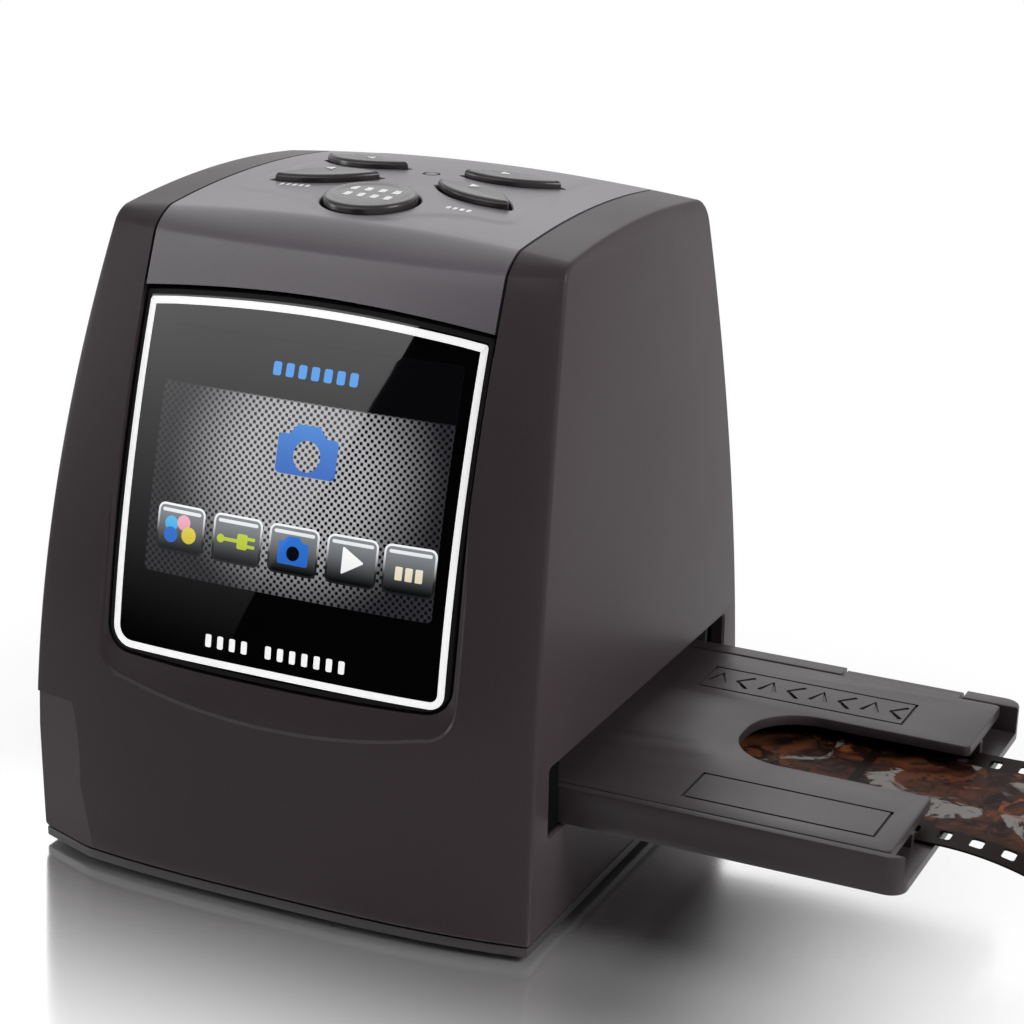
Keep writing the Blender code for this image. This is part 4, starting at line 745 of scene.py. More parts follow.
def facetLine(z):
    # The two ends of the slanted flat at a height: on the front, and on the side
    share = z / facet["height"]
    x = -sideLine(z) + facet["width"] + (facet["topWidth"] - facet["width"]) * share
    depth = facet["depth"] + (facet["topDepth"] - facet["depth"]) * share
    return Vector((x, frontSurface(x, z), z)), Vector((-sideLine(z), frontLine(z) + depth, z))


def facetTool():
    # Takes off the left front corner from the foot up to a short step
    loops = []
    for z in (0.0, facet["height"]):
        front, side = facetLine(z)
        along = side - front
        outside = Vector((-body["reach"], -body["reach"], 0)) + (front + side) / 2
        loops.append([front - along, side + along, outside])
    slope = [(low - high) / facet["height"] for low, high in zip(*loops)]
    loops.insert(0, [point + fall * body["foot"] for point, fall in zip(loops[0], slope)])
    return loftedSolid("facetTool", loops, flat)


def crispFacet(piece):
    # The slanted flat keeps sharp edges, although it turns little from the faces beside it
    front, side = facetLine(0.0)
    upper = facetLine(facet["height"])[0]
    normal = (side - front).cross(upper - front).normalized()
    bm = bmesh.new()
    bm.from_mesh(piece.data)
    for edge in bm.edges:
        sides = {abs(face.normal.dot(normal)) > 0.999 for face in edge.link_faces}
        if len(sides) == 2:
            edge.smooth = False
    bm.to_mesh(piece.data)
    bm.free()


def scoopTool():
    # From a lip on the surface down to the window's edge, in a soft hollow
    lip = windowFoot(window["scoopSide"], window["scoopDrop"], window["scoopSag"])
    edge = windowFoot(0.0)
    top = body["height"] + body["reach"]
    lip += [(lip[-1][0], top), (lip[0][0], top)]
    edge += [(edge[-1][0], top), (edge[0][0], top)]
    notch = window["lipNotch"]
    over = window["lipOver"]
    loops = [[(u, v, body["reach"]) for u, v in lip], [(u, v, over) for u, v in shifted(lip, -over)]]
    start = shifted(lip, window["lipWidth"])
    for share in evenly(0, 1, 6):
        depth = notch + (window["scoopDepth"] - notch) * share ** window["scoopCurve"]
        blend = [Vector(a).lerp(Vector(b), share) for a, b in zip(start, edge)]
        loops.append([(point.x, point.y, -depth) for point in blend])

    def place(u, v, lift):
        return onFront(u, min(v, window["top"]), lift)[:2] + (v,)

    return loftedSolid("scoopTool", loops, place)


slotSides = {"Right": onRight, "Left": onLeft}
housing = shell("housingShell", body["edge"])
combine(housing, facetTool())
combine(housing, scoopTool())
overTop = body["height"] + 1.5 * body["reach"]
windowHole = windowFoot(0.0) + [(window["half"], overTop), (-window["half"], overTop)]
combine(housing, prism("windowTool", windowHole, 0, body["depth"], forward))
combine(housing,
    boxSolid("rearTool", (-window["half"], -body["reach"], rear["bottom"]),
        (window["half"], body["depth"], body["height"] + body["reach"])))
slotOutline = roundedField((slot["front"], slot["bottom"]), (slot["back"], slot["top"]), slot["corner"])
slotRings = [(0, -2 * body["wall"]), (0, -slot["bevel"]), (-2 * slot["bevel"], slot["bevel"])]
for label, place in slotSides.items():
    combine(housing, drapedSolid("slotTool" + label, slotOutline, slotRings, place))
addGrooves(housing, "housing")
settle(housing)
bossX = body["width"] / 2 - body["wall"] - bosses["radius"] + bosses["bite"]
bossY = body["depth"] / 2 * bosses["share"]
for sideX in (-1, 1):
    for sideY in (-1, 1):
        place = (sideX * bossX, sideY * bossY)
        label = "boss" + str(sideX) + str(sideY)
        post = circle(bosses["radius"], place, bosses["sides"])
        postRings = [(0, bosses["bottom"]), (0, bosses["top"])]
        combine(housing, drapedSolid(label, post, postRings, flat), "UNION")
        bore = circle(bosses["bore"], place, bosses["sides"])
        combine(housing, drapedSolid(label + "Bore", bore, [(0, 0), (0, bosses["reach"])], flat))
settle(housing, 26)
crispFacet(housing)
dress(housing, texturedAbs, "scanner", "body_plastic", "housing")
# Cheeks: near-black sheets in the slot in front of the carrier, painted shade where the slot's inside lies
# dark
cheek = {"front": -37.4, "back": -33.2, "bottom": 16.9, "top": 27.3, "corner": 0.4, "sink": 0.4,
    "thickness": 1.6, "edge": 0.2}
cheekOutline = roundedField((cheek["front"], cheek["bottom"]), (cheek["back"], cheek["top"]), cheek["corner"])
face = -cheek["sink"]
cheekRings = [(0, face - cheek["thickness"]), (0, face - cheek["edge"]), (cheek["edge"], face)]
for label, place in slotSides.items():
    piece = drapedSolid("slotCheek" + label, cheekOutline, cheekRings, place)
    dress(piece, sealFoam, "scanner", "inner_black")
print("housing cut")

# Top cover: the middle strip, with a raised pad round the buttons
cover = {"half": 28.3, "padHalf": 25.2, "padBackHalf": 21.5, "padBack": 27.0, "padFront": -17.6,
    "padCorners": (4.2, 5.0), "padLip": 7.8, "padLipHalf": 17.5, "padLift": 0.2,
    "padRings": ((0, -2.6), (0, -0.5), (0.7, -0.22), (1.4, -0.02), (2.1, 0.11), (2.8, 0.18), (3.5, 0.2)),
    "lightY": 5.2, "lightHole": 1.4, "holeReach": (-12.0, 3.0)}
buttons = {"clearance": 0.5, "rise": 1.3, "edge": 0.65, "flange": 0.9, "flangeThickness": 1.0,
    "flangeGap": 0.5, "stem": 1.7, "stemBite": 0.3, "bevel": 0.35, "scanRadius": 7.0, "scanY": -15.0,
    "dish": 0.25, "dishRings": ((1.1, 0.1), (1.7, 0.75), (2.2, 1.0), (5.4, 1.0)), "tipShare": 1.5}


def scanShape(grow):
    return circle(buttons["scanRadius"] + grow, (0, buttons["scanY"]), 72)


def leafShape(outer, inner, bulge, belly, mirror):
    def shape(grow):
        along = (Vector(inner) - Vector(outer)).normalized() * grow * buttons["tipShare"]
        first = Vector(outer) - along
        last = Vector(inner) + along
        outline = arch(first, last, bulge + grow, 18)[:-1] + arch(last, first, belly + grow, 18)[:-1]
        return softened([(mirror * x, y) for x, y in outline], 1)

    return shape


# Each leaf: its outer and inner tip, and how far its two sides bow; minus one mirrors it
frontLeaf = ((-19.6, -9.0), (-4.8, -2.4), 3.8, 2.6)
rearLeaf = ((-20.2, 9.2), (-4.7, 6.8), 2.6, 3.4)
buttonShapes = {"scan": scanShape, "left": leafShape(*frontLeaf, 1), "right": leafShape(*frontLeaf, -1),
    "rear_left": leafShape(*rearLeaf, 1), "rear_right": leafShape(*rearLeaf, -1)}


def belowArch(name, grow):
    half = body["width"] / 2
    outline = [(-half, 0), (half, 0)] + [(x, archTop(x) + grow) for x in evenly(half, -half, 60)]
    return prism(name, outline, 0, body["depth"], forward)


def padOutline():
    # From its right front corner round the back to the left one, and along the bowed lip in front
    half = cover["padHalf"]
    backHalf = cover["padBackHalf"]
    front = cover["padFront"]
    back = cover["padBack"]
    turn, backTurn = cover["padCorners"]
    corners = [(half, front, turn), (backHalf, back, backTurn), (-backHalf, back, backTurn),
        (-half, front, turn)]
    lip = []
    reach = cover["padLipHalf"]
    for x in evenly(-reach, reach, 48):
        lip.append((x, front - cover["padLip"] * math.cos(x / reach * math.pi / 2) ** 2))
    return roundedCorners(corners) + lip


topCover = shell("topCoverShell")
tall = body["height"] + body["reach"]
combine(topCover, boxSolid("strip", (-cover["half"], -tall, 0), (cover["half"], tall, tall)), "INTERSECT")
combine(topCover, belowArch("belowArch", body["gap"]))
combine(topCover, boxSolid("behind", (-tall, 0, 0), (tall, tall, rear["top"] + body["gap"])))
addGrooves(topCover, "top")
settle(topCover)
combine(topCover, drapedSolid("pad", fineOutline(padOutline()), cover["padRings"], onTop, 3.0), "UNION")
combine(topCover, insideTool())
low, high = cover["holeReach"]
bevel = buttons["bevel"]
lift = cover["padLift"]
holeRings = [(0, low), (0, lift - bevel / 2), (-bevel, lift + bevel / 2), (-bevel, high)]
for label, shape in buttonShapes.items():
    hole = drapedSolid(label + "Hole", shape(buttons["clearance"]), holeRings, onTop)
    combine(topCover, hole)
lightHole = circle(cover["lightHole"], (0, cover["lightY"]))
combine(topCover, drapedSolid("lightHole", lightHole, [(0, low), (0, high)], onTop))
settle(topCover)
dress(topCover, satinAbs, "scanner", "top_plastic", "top_cover")
print("top cover cut")

# Button caps: a steep rim, a softly dished top, and the flange and stem that hold each below the cover
edge = buttons["edge"]
rise = buttons["rise"]
for label, shape in buttonShapes.items():
    node = bpy.data.objects[label + "_button"]
    points = [node.matrix_world @ vert.co / mm for vert in node.data.vertices]
    foot = min(point.z for point in points)
    lowest = [point for point in points if point.z < foot + 0.01]
    middle = sum((point.to_2d() for point in lowest), Vector((0, 0))) / len(lowest)
    flangeTop = min(topSurface(x, y) for x, y in shape(buttons["flange"]))
    flangeTop -= body["wall"] + buttons["flangeGap"]
    flangeBottom = flangeTop - buttons["flangeThickness"]
    outline = shape(0)
    loops = [[(u, v, flangeBottom) for u, v in outline]]
    for turn in evenly(0, math.pi / 2, 5):
        drop = edge * (1 - math.sin(turn)) - rise
        ring = shifted(outline, edge * (1 - math.cos(turn)))
        loops.append([(u, v, topSurface(u, v) - drop) for u, v in ring])
    if label == "scan":
        for inset, dip in buttons["dishRings"]:
            ring = shifted(outline, inset)
            loops.append([(u, v, topSurface(u, v) + rise - dip * buttons["dish"]) for u, v in ring])
    cap = loftedSolid(label + "Cap", loops, flat)
    stem = circle(buttons["stem"], middle, 24)
    for part, outline, low, high in (("Flange", shape(buttons["flange"]), flangeBottom, flangeTop),
        ("Stem", stem, foot, flangeBottom + buttons["stemBite"])):
        combine(cap, drapedSolid(label + part, outline, [(0, low), (0, high)], flat), "UNION")
    settle(cap)
    dress(cap, glossyAbs, label + "_button", "button_plastic", label + "_button")

# White prints on the top: rows of bars, and an arrow head on each leaf
printRings = (-0.3, 0.03)


def lifted(rise):
    return lambda u, v, lift: onTop(u, v, lift + rise)


onPad = lifted(cover["padLift"])
onCap = lifted(buttons["rise"])
onScan = lifted(buttons["rise"] - buttons["dish"])
barRow("leftBar", onPad, screenInk, "top_plastic", printRings, first=-17.0, pitch=1.1, count=5, width=0.6,
    height=1.1, level=-11.2)
barRow("rightBar", onPad, screenInk, "top_plastic", printRings, first=11.8, pitch=1.1, count=4, width=0.6,
    height=1.1, level=-13.2)
barRow("scanUpperBar", onScan, screenInk, "button_plastic", printRings, "scan_button", first=-3.8, pitch=2.3,
    count=4, width=1.1, height=1.8, level=-12.6)
barRow("scanLowerBar", onScan, screenInk, "button_plastic", printRings, "scan_button", first=-3.4, pitch=2.2,
    count=4, width=1.0, height=1.8, level=-15.8)
arrowHead = {"long": 0.8, "half": 0.85, "corner": 0.12}
arrows = {"left": (-13.2, -3.2, 1), "right": (11.6, -3.6, -1), "rear_left": (-12.0, 7.8, 1),
    "rear_right": (11.4, 8.0, -1)}
for label, (u, v, side) in arrows.items():
    along = side * arrowHead["long"]
    tail = [(u + along, v + across * arrowHead["half"], arrowHead["corner"]) for across in (-1, 1)]
    head = roundedCorners([(u - along, v, arrowHead["corner"])] + tail, 3)
    sign = drapedSolid(label + "Arrow", head, [(0, lift) for lift in printRings], onCap)
    dress(sign, screenInk, label + "_button", "button_plastic")
print("buttons turned")


def nodeBox(name):
    # The lowest and the highest corner of a plain solid, in millimetres
    node = bpy.data.objects[name]
    corners = [node.matrix_world @ Vector(corner) / mm for corner in node.bound_box]
    low = Vector([min(corner[axis] for corner in corners) for axis in range(3)])
    high = Vector([max(corner[axis] for corner in corners) for axis in range(3)])
    return low, high


# Rear cover: the strip down the back with openings round the two sockets
rearCover = shell("rearCoverShell")
backLow = (-cover["half"], 0, rear["bottom"] + body["gap"])
combine(rearCover, boxSolid("backStrip", backLow, (cover["half"], tall, rear["top"])), "INTERSECT")
addGrooves(rearCover, "back")
opening = {"grow": 0.6, "corners": {"usb_socket": 1.2, "card_socket": 0.8},
    "rings": ((0, -6.0), (0, -0.4), (-0.8, 0.4))}
for node, radius in opening["corners"].items():
    low, high = nodeBox(node)
    middle = ((low.x + high.x) / 2, (low.z + high.z) / 2)
    width = high.x - low.x + 2 * opening["grow"]
    outline = roundedBox(middle, width, high.z - low.z + 2 * opening["grow"], radius)
    combine(rearCover, drapedSolid(node + "Opening", outline, opening["rings"], onBack))
settle(rearCover)
dress(rearCover, satinAbs, "scanner", "body_plastic", "rear_cover")
# Gilt contacts: five on the tongue of one socket, nine on the floor of the other
contacts = {"usb_socket": {"count": 5, "pitch": 0.8, "width": 0.4, "from": 7.0, "to": 1.0, "lift": 0.6,
        "middle": True},
    "card_socket": {"count": 9, "pitch": 2.5, "width": 1.1, "from": 8.0, "to": 1.5, "middle": False,
        "lift": 0.5}}
bladeRings = ((0, -0.05), (0, 0.04), (0.05, 0.08))
for node, row in contacts.items():
    low, high = nodeBox(node)
    level = ((low.z + high.z) / 2 if row["middle"] else low.z) + row["lift"]
    for index in range(row["count"]):
        x = (low.x + high.x) / 2 + row["pitch"] * (index - (row["count"] - 1) / 2)
        middle = (x, high.y - (row["from"] + row["to"]) / 2)
        outline = roundedBox(middle, row["width"], row["from"] - row["to"], 0.15)
        rings = [(inset, level + rise) for inset, rise in bladeRings]
        blade = drapedSolid(node + "Contact" + str(index + 1), outline, rings, flat)
        dress(blade, goldFlash, "scanner", "plated_steel")
print("rear cover cut")


def onLens(u, v, lift):
    return onFront(u, v, lift - window["lensSink"])


# The white line with its painted glow, the black ring of painted shade behind the window's edge, and the lit
# picture
border = {"half": 27.4, "bottom": 35.6, "top": 86.5, "arch": 1.7, "width": 1.05, "cornerLeft": 3.2,
    "cornerRight": 2.2, "cornerTop": 0.6, "lift": 0.05, "mask": 0.7, "maskLift": 0.03}
screen = {"left": -22.6, "right": 24.5, "bottom": 47.9, "top": 83.4, "corner": 0.8, "lift": 0.04,
    "iconLift": 0.09, "iconZ": 54.7, "cameraPlace": (2.4, 68.1), "cameraHole": 2.2,
    "iconXs": (-16.9, -7.3, 2.0, 11.4, 20.4), "iconWidth": 8.1, "iconHeight": 7.0, "iconCorner": 1.1,
    "iconRim": 0.3, "gloss": {"drop": 1.0, "inset": 1.5, "height": 0.5, "corner": 0.24}}
meshPicture = litScreen("meshPicture", dotPitch=1.12, brightest=(2.0, -38.0, 66.0), core=8.0, edge=23.0,
    bright="#b2b2b5", dim="#2e2e32", hole="#0c0c0e", barBottom=75.2, barFade=0.3, bar="#08080b")

lensFront = [(0, -window["lensThickness"]), (0, -window["rim"]), (window["rim"], 0.0)]
lens = drapedSolid("glossyWindow", lensOutline(-body["gap"]), lensFront, onLens, 3.0)
dress(lens, blackAcrylic, "scanner", "window_gloss", "window_lens")
sunk = -0.4  # how deep the prints reach into the glass
maskRings = [(0, sunk), (0, border["maskLift"]), (border["mask"], border["maskLift"]), (border["mask"], sunk)]
# The mask ring is painted shade over the edge of the glass
mask = drapedSolid("windowMask", lensOutline(-body["gap"] - window["rim"]), maskRings, onLens, 2.0, True)
dress(mask, maskInk, "scanner", "window_gloss")

half = border["half"]
top = border["top"]
foot = border["bottom"]
ring = roundedCorners([(-half, top, border["cornerTop"]), (-half, foot, border["cornerLeft"]),
        (half, foot, border["cornerRight"]), (half, top, border["cornerTop"])])
ring += [(x, top + border["arch"] * (1 - (x / half) ** 2)) for x in evenly(half, -half, 40)[3:38]]
ringRings = [(0, sunk), (0, border["lift"]), (border["width"], border["lift"]), (border["width"], sunk)]
whiteLine = drapedSolid("windowBorder", fineOutline(ring), ringRings, onLens, 3.0, True)
# The white line carries the ink's painted glow
dress(whiteLine, lensInk, "scanner", "window_gloss")

pictureOutline = roundedField((screen["left"], screen["bottom"]), (screen["right"], screen["top"]),
    screen["corner"])
pictureRings = [(0, -0.5), (0, screen["lift"])]
picture = drapedSolid("screenPicture", fineOutline(pictureOutline), pictureRings, onLens, 3.0)
dress(picture, meshPicture, "scanner", "screen_glass")

iconFoot = screen["iconZ"] - screen["iconHeight"] / 2
iconHead = screen["iconZ"] + screen["iconHeight"] / 2


def litColour(name, low, high, foot=iconFoot, head=iconHead):
    # A lit colour that runs from the foot to the head of a mark, over a faintly uneven backlight
    material, place = newMaterial(name)
    parts = addNode(material, "SeparateXYZ", {"Vector": place})
    height = addNode(material, "MapRange",
        {"Value": parts.outputs["Z"], "From Min": foot * mm, "From Max": head * mm},
        interpolation_type="SMOOTHSTEP")
    tone = addNode(material, "Mix", {0: height, 6: low, 7: high}, data_type="RGBA")
    uneven = addNode(material, "TexNoise", {"Vector": place, "Scale": perMetre(6.0)})
    strength = addNode(material, "MapRange", {"Value": uneven, "To Min": 0.94, "To Max": 1.06})
    return litPatch(material, tone, strength)


def printed(name, outline, material, rise=0.0, inset=0.0):
    # A thin patch on the glass; where an inset is given, only a line of that width
    lift = screen["iconLift"] + rise
    rings = [(0, sunk), (0, lift)]
    if inset:
        rings += [(inset, lift), (inset, sunk)]
    patch = drapedSolid(name, outline, rings, onLens, 2.0, bool(inset))
    dress(patch, material, "scanner", "screen_glass")


# Lit colours of the screen, each a little brighter towards the top
tileFace = litColour("tileFace", "#020203", "#85888c")
tileRim = litColour("tileRim", "#1c1d20", "#f4f6f8", screen["iconZ"] - 1.5)
litWhite = litColour("litWhite", "#ececec", "#ffffff")
litBlue = litColour("litBlue", "#2a62b8", "#4795e2", 64.0, 80.0)
tileBlue = litColour("tileBlue", "#2b66c0", "#2f74d2")
litCyan = litColour("litCyan", "#2f8fd6", "#5cc3ee")
litPink = litColour("litPink", "#e07f9c", "#f0b6c4")
litYellow = litColour("litYellow", "#c9b52c", "#e9dc62")
litLime = litColour("litLime", "#a9b92c", "#c6d64a")
litCream = litColour("litCream", "#d8cfae", "#f6f2e0")
lensBlack = litColour("lensBlack", "#06080c", "#0d1119")

# Each tile: a dark face, a thin rim and a bright line near its head
gloss = screen["gloss"]
rim = screen["iconRim"]
wide = screen["iconWidth"]
for number, x in enumerate(screen["iconXs"], 1):
    tile = roundedBox((x, screen["iconZ"]), wide, screen["iconHeight"], screen["iconCorner"])
    printed("tileFace" + str(number), shifted(tile, rim), tileFace, -0.02)
    printed("tileRim" + str(number), tile, tileRim, 0.0, rim)
    line = roundedBox((x, iconHead - gloss["drop"]), wide - gloss["inset"], gloss["height"], gloss["corner"])
    printed("tileGloss" + str(number), line, tileRim)


def cameraOutline(middle, width, height, hump, humpRise, radius):
    # A rounded case with a sloping hump on its top
    u, v = middle
    half = width / 2
    low = v - height / 2
    high = v + height / 2
    return roundedCorners([(u - half, low, radius), (u + half, low, radius), (u + half, high, radius),
            (u + hump * 0.62, high, 0.1), (u + hump * 0.34, high + humpRise, 0.25),
            (u - hump * 0.42, high + humpRise, 0.25), (u - hump * 0.7, high, 0.1), (u - half, high, radius)],
        4)


def tilePlace(tile, u, v):
    # A place on one of the tiles, measured from its middle
    return (screen["iconXs"][tile] + u, screen["iconZ"] + v)


smallCamera = cameraOutline(tilePlace(2, 0, -0.4), width=4.9, height=3.3, hump=2.4, humpRise=0.75,
    radius=0.35)
marks = [
    # Overlapping coloured discs
    ("blobCyan", circle(1.1, tilePlace(0, -1.6, 0.6), 28), litCyan, 0.02),
    ("blobBlue", circle(1.15, tilePlace(0, -1.6, -1.0), 28), tileBlue, 0.04),
    ("blobPink", circle(1.1, tilePlace(0, 0.5, 1.0), 28), litPink, 0.06),
    ("blobYellow", circle(1.2, tilePlace(0, 1.5, -0.7), 28), litYellow, 0.08),
    # A plug with two pins and its cable
    ("plugBody", roundedBox(tilePlace(1, 0.9, -0.1), 1.7, 2.2, 0.3), litLime, 0.03),
    ("plugPinUpper", roundedBox(tilePlace(1, 2.3, 0.45), 1.4, 0.45, 0.15), litLime, 0.03),
    ("plugPinLower", roundedBox(tilePlace(1, 2.3, -0.65), 1.4, 0.45, 0.15), litLime, 0.03),
    ("plugCable", roundedBox(tilePlace(1, -1.2, -0.1), 2.8, 0.5, 0.2), litLime, 0.03),
    ("plugEnd", circle(0.62, tilePlace(1, -2.7, -0.1), 20), litLime, 0.03),
    # A small camera and its lens
    ("smallCamera", smallCamera, tileBlue, 0.02),
    ("smallLens", circle(1.05, tilePlace(2, 0, -0.4), 28), lensBlack, 0.04)]
tips = [tilePlace(3, *tip) for tip in ((-1.5, -2.0), (2.0, 0.0), (-1.5, 2.0))]
marks.append(("playMark", roundedCorners([(*tip, 0.15) for tip in tips], 3), litWhite, 0.02))
for step in (-1, 0, 1):
    bar = roundedBox(tilePlace(4, step * 1.55, -0.5), 1.1, 1.9, 0.15)
    marks.append(("creamBar" + str(step + 2), bar, litCream, 0.02))
for mark in marks:
    printed(*mark)

# The large camera, with the mesh of the picture showing through its lens
bigCamera = cameraOutline(screen["cameraPlace"], width=9.7, height=5.6, hump=4.6, humpRise=1.5, radius=0.7)
symbolRings = [(0, sunk), (0, screen["iconLift"])]
symbol = drapedSolid("cameraSymbol", fineOutline(bigCamera, 1.0), symbolRings, onLens, 2.0)
hole = circle(screen["cameraHole"], screen["cameraPlace"], 32)
combine(symbol, drapedSolid("cameraHole", hole, [(0, -2.0), (0, 2.0)], onLens))
settle(symbol)
dress(symbol, litBlue, "scanner", "screen_glass")

barRow("titleBar", onLens, litBlue, "screen_glass", (sunk, screen["iconLift"]), first=-4.2, pitch=2.06,
    count=7, width=1.3, height=1.9, level=79.5)
# The bars under the window carry the same painted glow
barRow("footBar", onLens, lensInk, "window_gloss", (sunk, border["lift"]), first=-10.7, pitch=2.0, count=12,
    width=0.95, height=1.9, level=39.3, skip=4)
print("window set")

# Carrier: a long tray with rails, and the hinged cover whose top it shares
carrier = {"half": 32.7, "left": -44.8, "right": 93.0, "bottom": 17.1, "top": 23.0, "floor": 1.6,
    "wall": 1.4, "rim": 3.4, "corner": 2.8, "leftCorner": 1.2, "edge": 0.35, "edgeStep": 0.1,
    "channelEdge": 0.15, "railSink": 0.8, "railEdge": 0.2, "rails": (17.8, 19.4), "railHeight": 2.2,
    "knuckle": 1.7, "knuckleWidth": 19.0, "knuckles": (74.0, -26.0), "pinPast": 6.0, "notch": 0.6,
    "pin": 0.9, "window": (36.0, 24.0), "windowFlare": (0.6, 0.2, 0.4)}
plate = {"left": -42.8, "right": 90.4, "near": -31.0, "far": 29.0, "bottom": 21.3, "thickness": 1.7,
    "corner": 1.0, "cutHalf": 10.2, "cutEnd": 58.0, "cutRound": 9.0, "ribs": (14.9, 16.1),
    "windowFlare": (0.8, 0.3, 0.5), "armRise": 0.1, "armSink": 0.02, "ribBottom": 19.6, "ribSink": 0.8,
    "groove": 0.5, "grooveDepth": 0.35, "grooveDraft": 0.1, "leftCorner": 0.3, "lowEdge": 0.15, "edge": 0.3,
    "edgeStep": 0.09}
hingeY = carrier["half"] - carrier["rim"] / 2
hingeZ = carrier["top"] - carrier["knuckle"]
frameWindow = roundedBox((0, 0), *carrier["window"], 0.3)


def barAlongX(name, radius, left, right, sides=40):
    outline = circle(radius, (0, 0), sides)
    return prism(name, outline, left, right, lambda u, v, lift: (lift, hingeY + u, hingeZ + v))


edge = carrier["edge"]
low = carrier["bottom"]
high = carrier["top"]
left = carrier["left"]
right = carrier["right"]
half = carrier["half"]
floorTop = low + carrier["floor"]
far = half - carrier["rim"]
nearWall = carrier["wall"] - half
reach = right + body["reach"]
trayOutline = roundedCorners([(left, -half, carrier["leftCorner"]), (right, -half, carrier["corner"]),
        (right, half, carrier["corner"]), (left, half, carrier["leftCorner"])])
step = carrier["edgeStep"]
trayRings = [(edge, low), (step, low + step), (0, low + edge)]
trayRings += [(0, high - edge), (step, high - step), (edge, high)]
tray = drapedSolid("carrierTray", trayOutline, trayRings, flat)
channel = rectangle(-reach, nearWall, reach, far)
eased = carrier["channelEdge"]
channelRings = [(0, floorTop), (0, high - eased), (-2 * eased, high + eased)]
combine(tray, drapedSolid("channel", channel, channelRings, flat))
railHeight = floorTop + carrier["railHeight"]
eased = carrier["railEdge"]
railRings = [(0, low + carrier["railSink"]), (0, railHeight - eased), (eased, railHeight)]
for side in (-1, 1):
    lower, upper = sorted(side * place for place in carrier["rails"])
    rail = rectangle(left + carrier["corner"], lower, right - carrier["corner"], upper)
    combine(tray, drapedSolid("rail" + str(side), rail, railRings, flat), "UNION")
flare, under, above = carrier["windowFlare"]
windowRings = [(0, 0), (0, floorTop - under), (-flare, floorTop + above)]
combine(tray, drapedSolid("trayWindow", frameWindow, windowRings, flat))
for index, x in enumerate(carrier["knuckles"]):
    wide = carrier["knuckleWidth"] / 2 + carrier["notch"]
    notchLow = (x - wide, far - body["gap"], floorTop)
    combine(tray, boxSolid("notch" + str(index), notchLow, (x + wide, reach, high + body["reach"])))
pinRight = carrier["knuckles"][0] + carrier["knuckleWidth"] / 2 + carrier["pinPast"]
combine(tray, barAlongX("trayBore", carrier["pin"], -reach, pinRight + body["gap"], 16))
settle(tray)
dress(tray, carrierAbs, "film_carrier", "carrier_plastic", "carrier_base")

left = plate["left"]
right = plate["right"]
near = plate["near"]
far = plate["far"]
low = plate["bottom"]
top = low + plate["thickness"]
corner = plate["corner"]
cutHalf = plate["cutHalf"]
cutEnd = plate["cutEnd"]
cutRound = plate["cutRound"]
coverOutline = roundedCorners([(left, near, plate["leftCorner"]), (right, near, corner),
        (right, -cutHalf, corner), (cutEnd, -cutHalf, cutRound), (cutEnd, cutHalf, cutRound),
        (right, cutHalf, corner), (right, far, corner), (left, far, plate["leftCorner"])], 14)
edge = plate["edge"]
step = plate["edgeStep"]
coverRings = [(plate["lowEdge"], low), (0, low + plate["lowEdge"])]
coverRings += [(0, top - edge), (step, top - step), (edge, top)]
lid = drapedSolid("carrierLid", coverOutline, coverRings, flat)
flare, under, above = plate["windowFlare"]
combine(lid, drapedSolid("lidWindow", frameWindow, [(0, 0), (0, top - under), (-flare, top + above)], flat))
for side in (-1, 1):
    lower, upper = sorted(side * place for place in plate["ribs"])
    ribLow = (left + corner, lower, plate["ribBottom"])
    ribHigh = (right - corner, upper, top - plate["ribSink"])
    combine(lid, boxSolid("rib" + str(side), ribLow, ribHigh), "UNION")
for index, x in enumerate(carrier["knuckles"]):
    wide = carrier["knuckleWidth"] / 2
    armLow = (x - wide, far - plate["thickness"], low + plate["armRise"])
    combine(lid, boxSolid("arm" + str(index), armLow, (x + wide, hingeY, top - plate["armSink"])), "UNION")
    combine(lid, barAlongX("knuckle" + str(index), carrier["knuckle"], x - wide, x + wide), "UNION")
combine(lid, barAlongX("lidBore", carrier["pin"], -reach, reach, 16))
settle(lid)


def frameGroove(name, field):
    # A shallow engraved line round a field
    foot = top - plate["grooveDepth"]
    wide = plate["groove"]
    draft = plate["grooveDraft"]
    rings = [(0, foot), (-draft, top + 1), (wide, top + 1), (wide - draft, foot)]
    return drapedSolid(name, rectangle(*field), rings, flat, None, True)


def strokeGroove(name, points, wide):
    # An engraved line through a few points
    left = []
    right = []
    for before, point, after in zip(points[:1] + points, points, points[1:] + points[-1:]):
        along = (Vector(after) - Vector(before)).normalized()
        across = Vector((-along.y, along.x)) * wide / 2
        left.append(tuple(Vector(point) + across))
        right.insert(0, tuple(Vector(point) - across))
    outline = left + right
    return drapedSolid(name, outline, [(0, top - plate["grooveDepth"]), (0, top + 1)], flat)


labels = {"far": (45.0, 13.6, 78.8, 22.7), "near": (58.0, -27.4, 87.0, -18.0)}
for label, field in labels.items():
    combine(lid, frameGroove(label + "Frame", field))
# The far frame holds a row of arrow heads that point up and to the slot by turns
left, low, right, high = labels["far"]
middle = (low + high) / 2
heads = {"count": 8, "line": 0.75, "up": ((-1.3, -1.6), (0, 2.2), (1.3, -1.6)),
    "slot": ((1.1, -2.5), (-1.1, 0), (1.1, 2.5))}
for index in range(heads["count"]):
    centre = left + (right - left) * (index + 0.5) / heads["count"]
    points = [(centre + u, middle + v) for u, v in heads["slot" if index % 2 else "up"]]
    combine(lid, strokeGroove("arrow" + str(index), points, heads["line"]))
settle(lid)
dress(lid, carrierAbs, "carrier_cover", "carrier_plastic", "carrier_cover")
print("carrier milled")

